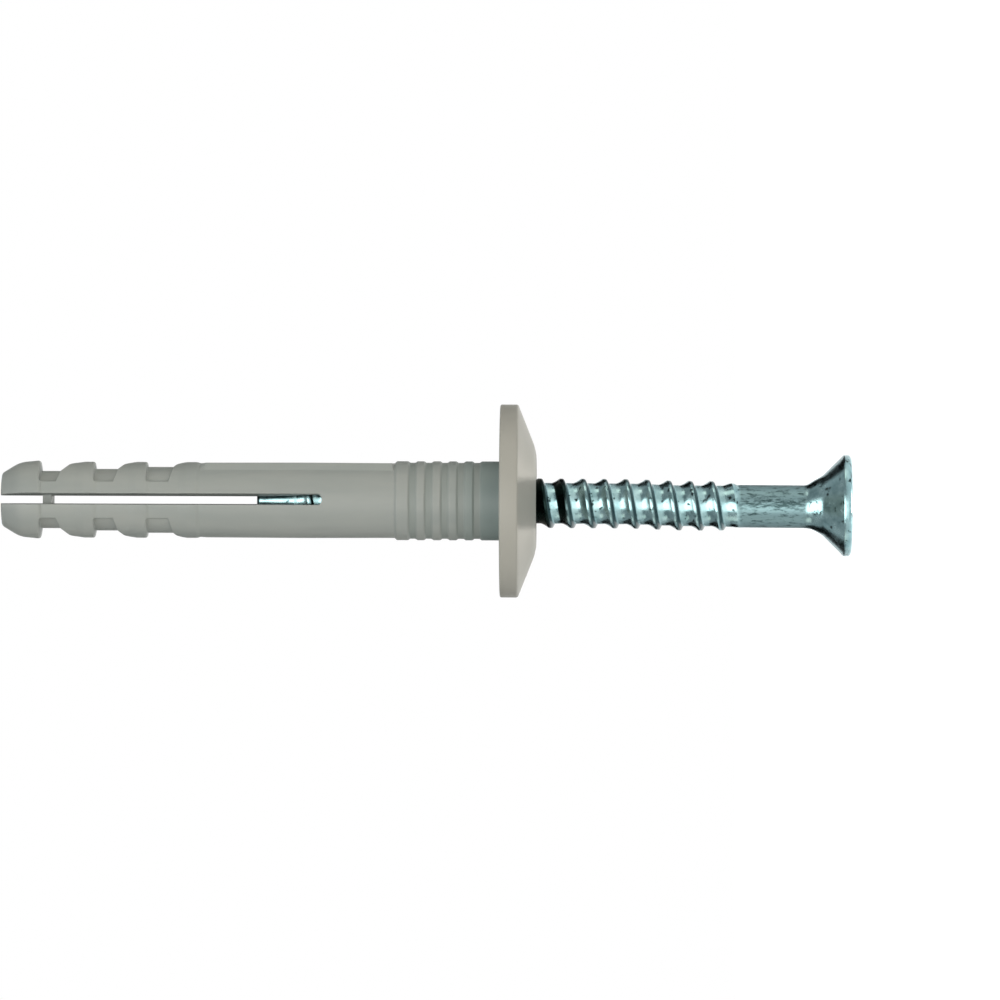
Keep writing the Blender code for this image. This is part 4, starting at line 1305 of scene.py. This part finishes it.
across = add_node(thread, "ShaderNodeMath", {"operation": "MULTIPLY"}, {0: radius, 1: cosine}).outputs[0]
away = add_node(thread, "ShaderNodeMath", {"operation": "MULTIPLY"}, {0: radius, 1: sine}).outputs[0]
place = add_node(thread, "ShaderNodeCombineXYZ", None,
                 {"X": across, "Y": away, "Z": height}).outputs[0]
print("nodes for helix and flanks:", len(thread.nodes))

# %% Store the three numbers for the material, while the grid is still flat
EDGE_SHARES = (0.34, 0.37, 0.49, 0.55)
ROOT_SHARES = (0.04, 0.16, 0.31, ROOT_SHARE)
# The near-black band on the turns next to the collar starts past the middle of the steep flank
BAND_FROM = (ROOT_SHARE + STEEP_END) / 2 + 0.06

edge_start = add_node(thread, "ShaderNodeMapRange", {"interpolation_type": "SMOOTHSTEP"},
                      {"Value": within, "From Min": EDGE_SHARES[0],
                       "From Max": EDGE_SHARES[1]}).outputs[0]
edge_end = add_node(thread, "ShaderNodeMapRange", {"interpolation_type": "SMOOTHSTEP"},
                    {"Value": within, "From Min": EDGE_SHARES[2], "From Max": EDGE_SHARES[3],
                     "To Min": 1.0, "To Max": 0.0}).outputs[0]
on_edge = add_node(thread, "ShaderNodeMath", {"operation": "MINIMUM"},
                   {0: edge_start, 1: edge_end}).outputs[0]
edge = add_node(thread, "ShaderNodeMath", {"operation": "MULTIPLY"}, {0: on_edge, 1: fade}).outputs[0]
edged = add_node(thread, "GeometryNodeStoreNamedAttribute", {"data_type": "FLOAT", "domain": "POINT"},
                 {"Geometry": grid, "Name": "thread_edge", "Value": edge}).outputs[0]
root_start = add_node(thread, "ShaderNodeMapRange", {"interpolation_type": "SMOOTHSTEP"},
                      {"Value": within, "From Min": ROOT_SHARES[0],
                       "From Max": ROOT_SHARES[1]}).outputs[0]
root_end = add_node(thread, "ShaderNodeMapRange", {"interpolation_type": "SMOOTHSTEP"},
                    {"Value": within, "From Min": ROOT_SHARES[2], "From Max": ROOT_SHARES[3],
                     "To Min": 1.0, "To Max": 0.0}).outputs[0]
root = add_node(thread, "ShaderNodeMath", {"operation": "MINIMUM"},
                {0: root_start, 1: root_end}).outputs[0]
rooted = add_node(thread, "GeometryNodeStoreNamedAttribute", {"data_type": "FLOAT", "domain": "POINT"},
                  {"Geometry": edged, "Name": "thread_root", "Value": root}).outputs[0]
off_root = add_node(thread, "ShaderNodeMath", {"operation": "GREATER_THAN"},
                    {0: within, 1: BAND_FROM}).outputs[0]
above = add_node(thread, "ShaderNodeMapRange", {"interpolation_type": "SMOOTHSTEP"},
                 {"Value": height, "From Min": given["Band Low"],
                  "From Max": given["Band High"]}).outputs[0]
flank_band = add_node(thread, "ShaderNodeMath", {"operation": "MULTIPLY"}, {0: off_root, 1: above}).outputs[0]
# Next to the collar the black covers the root too, and deeper inside the sleeve there is none
full_band = add_node(thread, "ShaderNodeMapRange", {"interpolation_type": "SMOOTHSTEP"},
                 {"Value": height, "From Min": given["Full Band Low"],
                  "From Max": given["Full Band High"]}).outputs[0]
spread = add_node(thread, "ShaderNodeMath", {"operation": "MAXIMUM"}, {0: flank_band, 1: full_band}).outputs[0]
below_band_end = add_node(thread, "ShaderNodeMath", {"operation": "LESS_THAN"},
                   {0: height, 1: given["Band End"]}).outputs[0]
band_value = add_node(thread, "ShaderNodeMath", {"operation": "MULTIPLY"},
                     {0: spread, 1: below_band_end}).outputs[0]
band_stored = add_node(thread, "GeometryNodeStoreNamedAttribute", {"data_type": "FLOAT", "domain": "POINT"},
                   {"Geometry": rooted, "Name": "black_band", "Value": band_value}).outputs[0]
edge_width = (EDGE_SHARES[3] - EDGE_SHARES[0]) * THREAD_PITCH
print("the dark edge is, mm:", round(edge_width / MILLIMETRE, 2), "wide")

# %% Roll the grid up and join it to the nail
ROWS_PER_TURN = 25

rolled = add_node(thread, "GeometryNodeSetPosition", None,
                  {"Geometry": band_stored, "Position": place}).outputs[0]
joined = add_node(thread, "GeometryNodeJoinGeometry")
thread.links.new(rolled, joined.inputs[0])
thread.links.new(given["Geometry"], joined.inputs[0])
merged = add_node(thread, "GeometryNodeMergeByDistance", None,
                  {"Geometry": joined.outputs[0], "Distance": 0.000001}).outputs[0]
whole = add_node(thread, "GeometryNodeRealizeInstances", None, {"Geometry": merged}).outputs[0]
coated = add_node(thread, "GeometryNodeSetMaterial", None,
                  {"Geometry": whole, "Material": given["Material"]}).outputs[0]
add_node(thread, "NodeGroupOutput", None, {"Geometry": coated})

run_tree(nail, thread, {
    "Columns": SCREW_SIDES + 1,
    "Rows": ROWS_PER_TURN * THREAD_TURNS + 1,
    "Turns": THREAD_TURNS,
    "Start": THREAD_START,
    "End": THREAD_END,
    "Pitch": THREAD_PITCH,
    "Thread Height": THREAD_HEIGHT,
    "Shank Radius": SHANK_RADIUS,
    "Core Radius": CORE_RADIUS,
    "Point Radius": POINT_RADIUS,
    "Run-out": THREAD_RUNOUT,
    "Point Start": POINT_START,
    "Nail Length": SCREW_LENGTH,
    "Band Low": 0.02255,
    "Band High": 0.02300,
    "Full Band Low": 0.02465,
    "Full Band High": 0.02485,
    "Band End": 0.0340,
    "Material": zinc,
})
finish_mesh(nail, sharp_degrees=35)

# %% [markdown]
# ## Nail: its lean
#
# The clearance in the bore lets the nail lean: its head hangs a little to the -X side. The plain shank
# sags a tenth of a millimetre more, because cold heading seldom sets a head quite true on its wire.
# Turning the object would make the lean alone, but a finished piece sits unturned at the origin. So
# each vertex is moved across the axis by an amount that follows from its height.

# %% Let the nail lean
LEAN_AT_HEAD = -0.00029
LEAN_SLOPE = 0.00506
SAG = -0.00011
SAG_ENDS = ((0.0030, 0.0037), (0.0180, 0.0135))


def smooth_share(value, start, end):
    """0 at the start, 1 at the end, and a soft S between them."""
    share = min(max((value - start) / (end - start), 0.0), 1.0)
    return share * share * (3 - 2 * share)


for vertex in nail.data.vertices:
    height = vertex.co.z
    sag = SAG * min(smooth_share(height, start, end) for start, end in SAG_ENDS)
    vertex.co.x += LEAN_AT_HEAD + LEAN_SLOPE * height + sag
print("the head hangs", round(-LEAN_AT_HEAD * 1000, 2), "mm off the axis")

# %% [markdown]
# ## Attach the pieces
#
# Both pieces ride on the one body of the part and stand for their CAD nodes, which are hidden.

# %% Tie the pieces to the frame
for piece, node, finish_slot in ((sleeve, "plug_sleeve", "grey_nylon"),
                                 (nail, "nail_screw", "zinc_plated_steel")):
    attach(piece, "root")
    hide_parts(node)
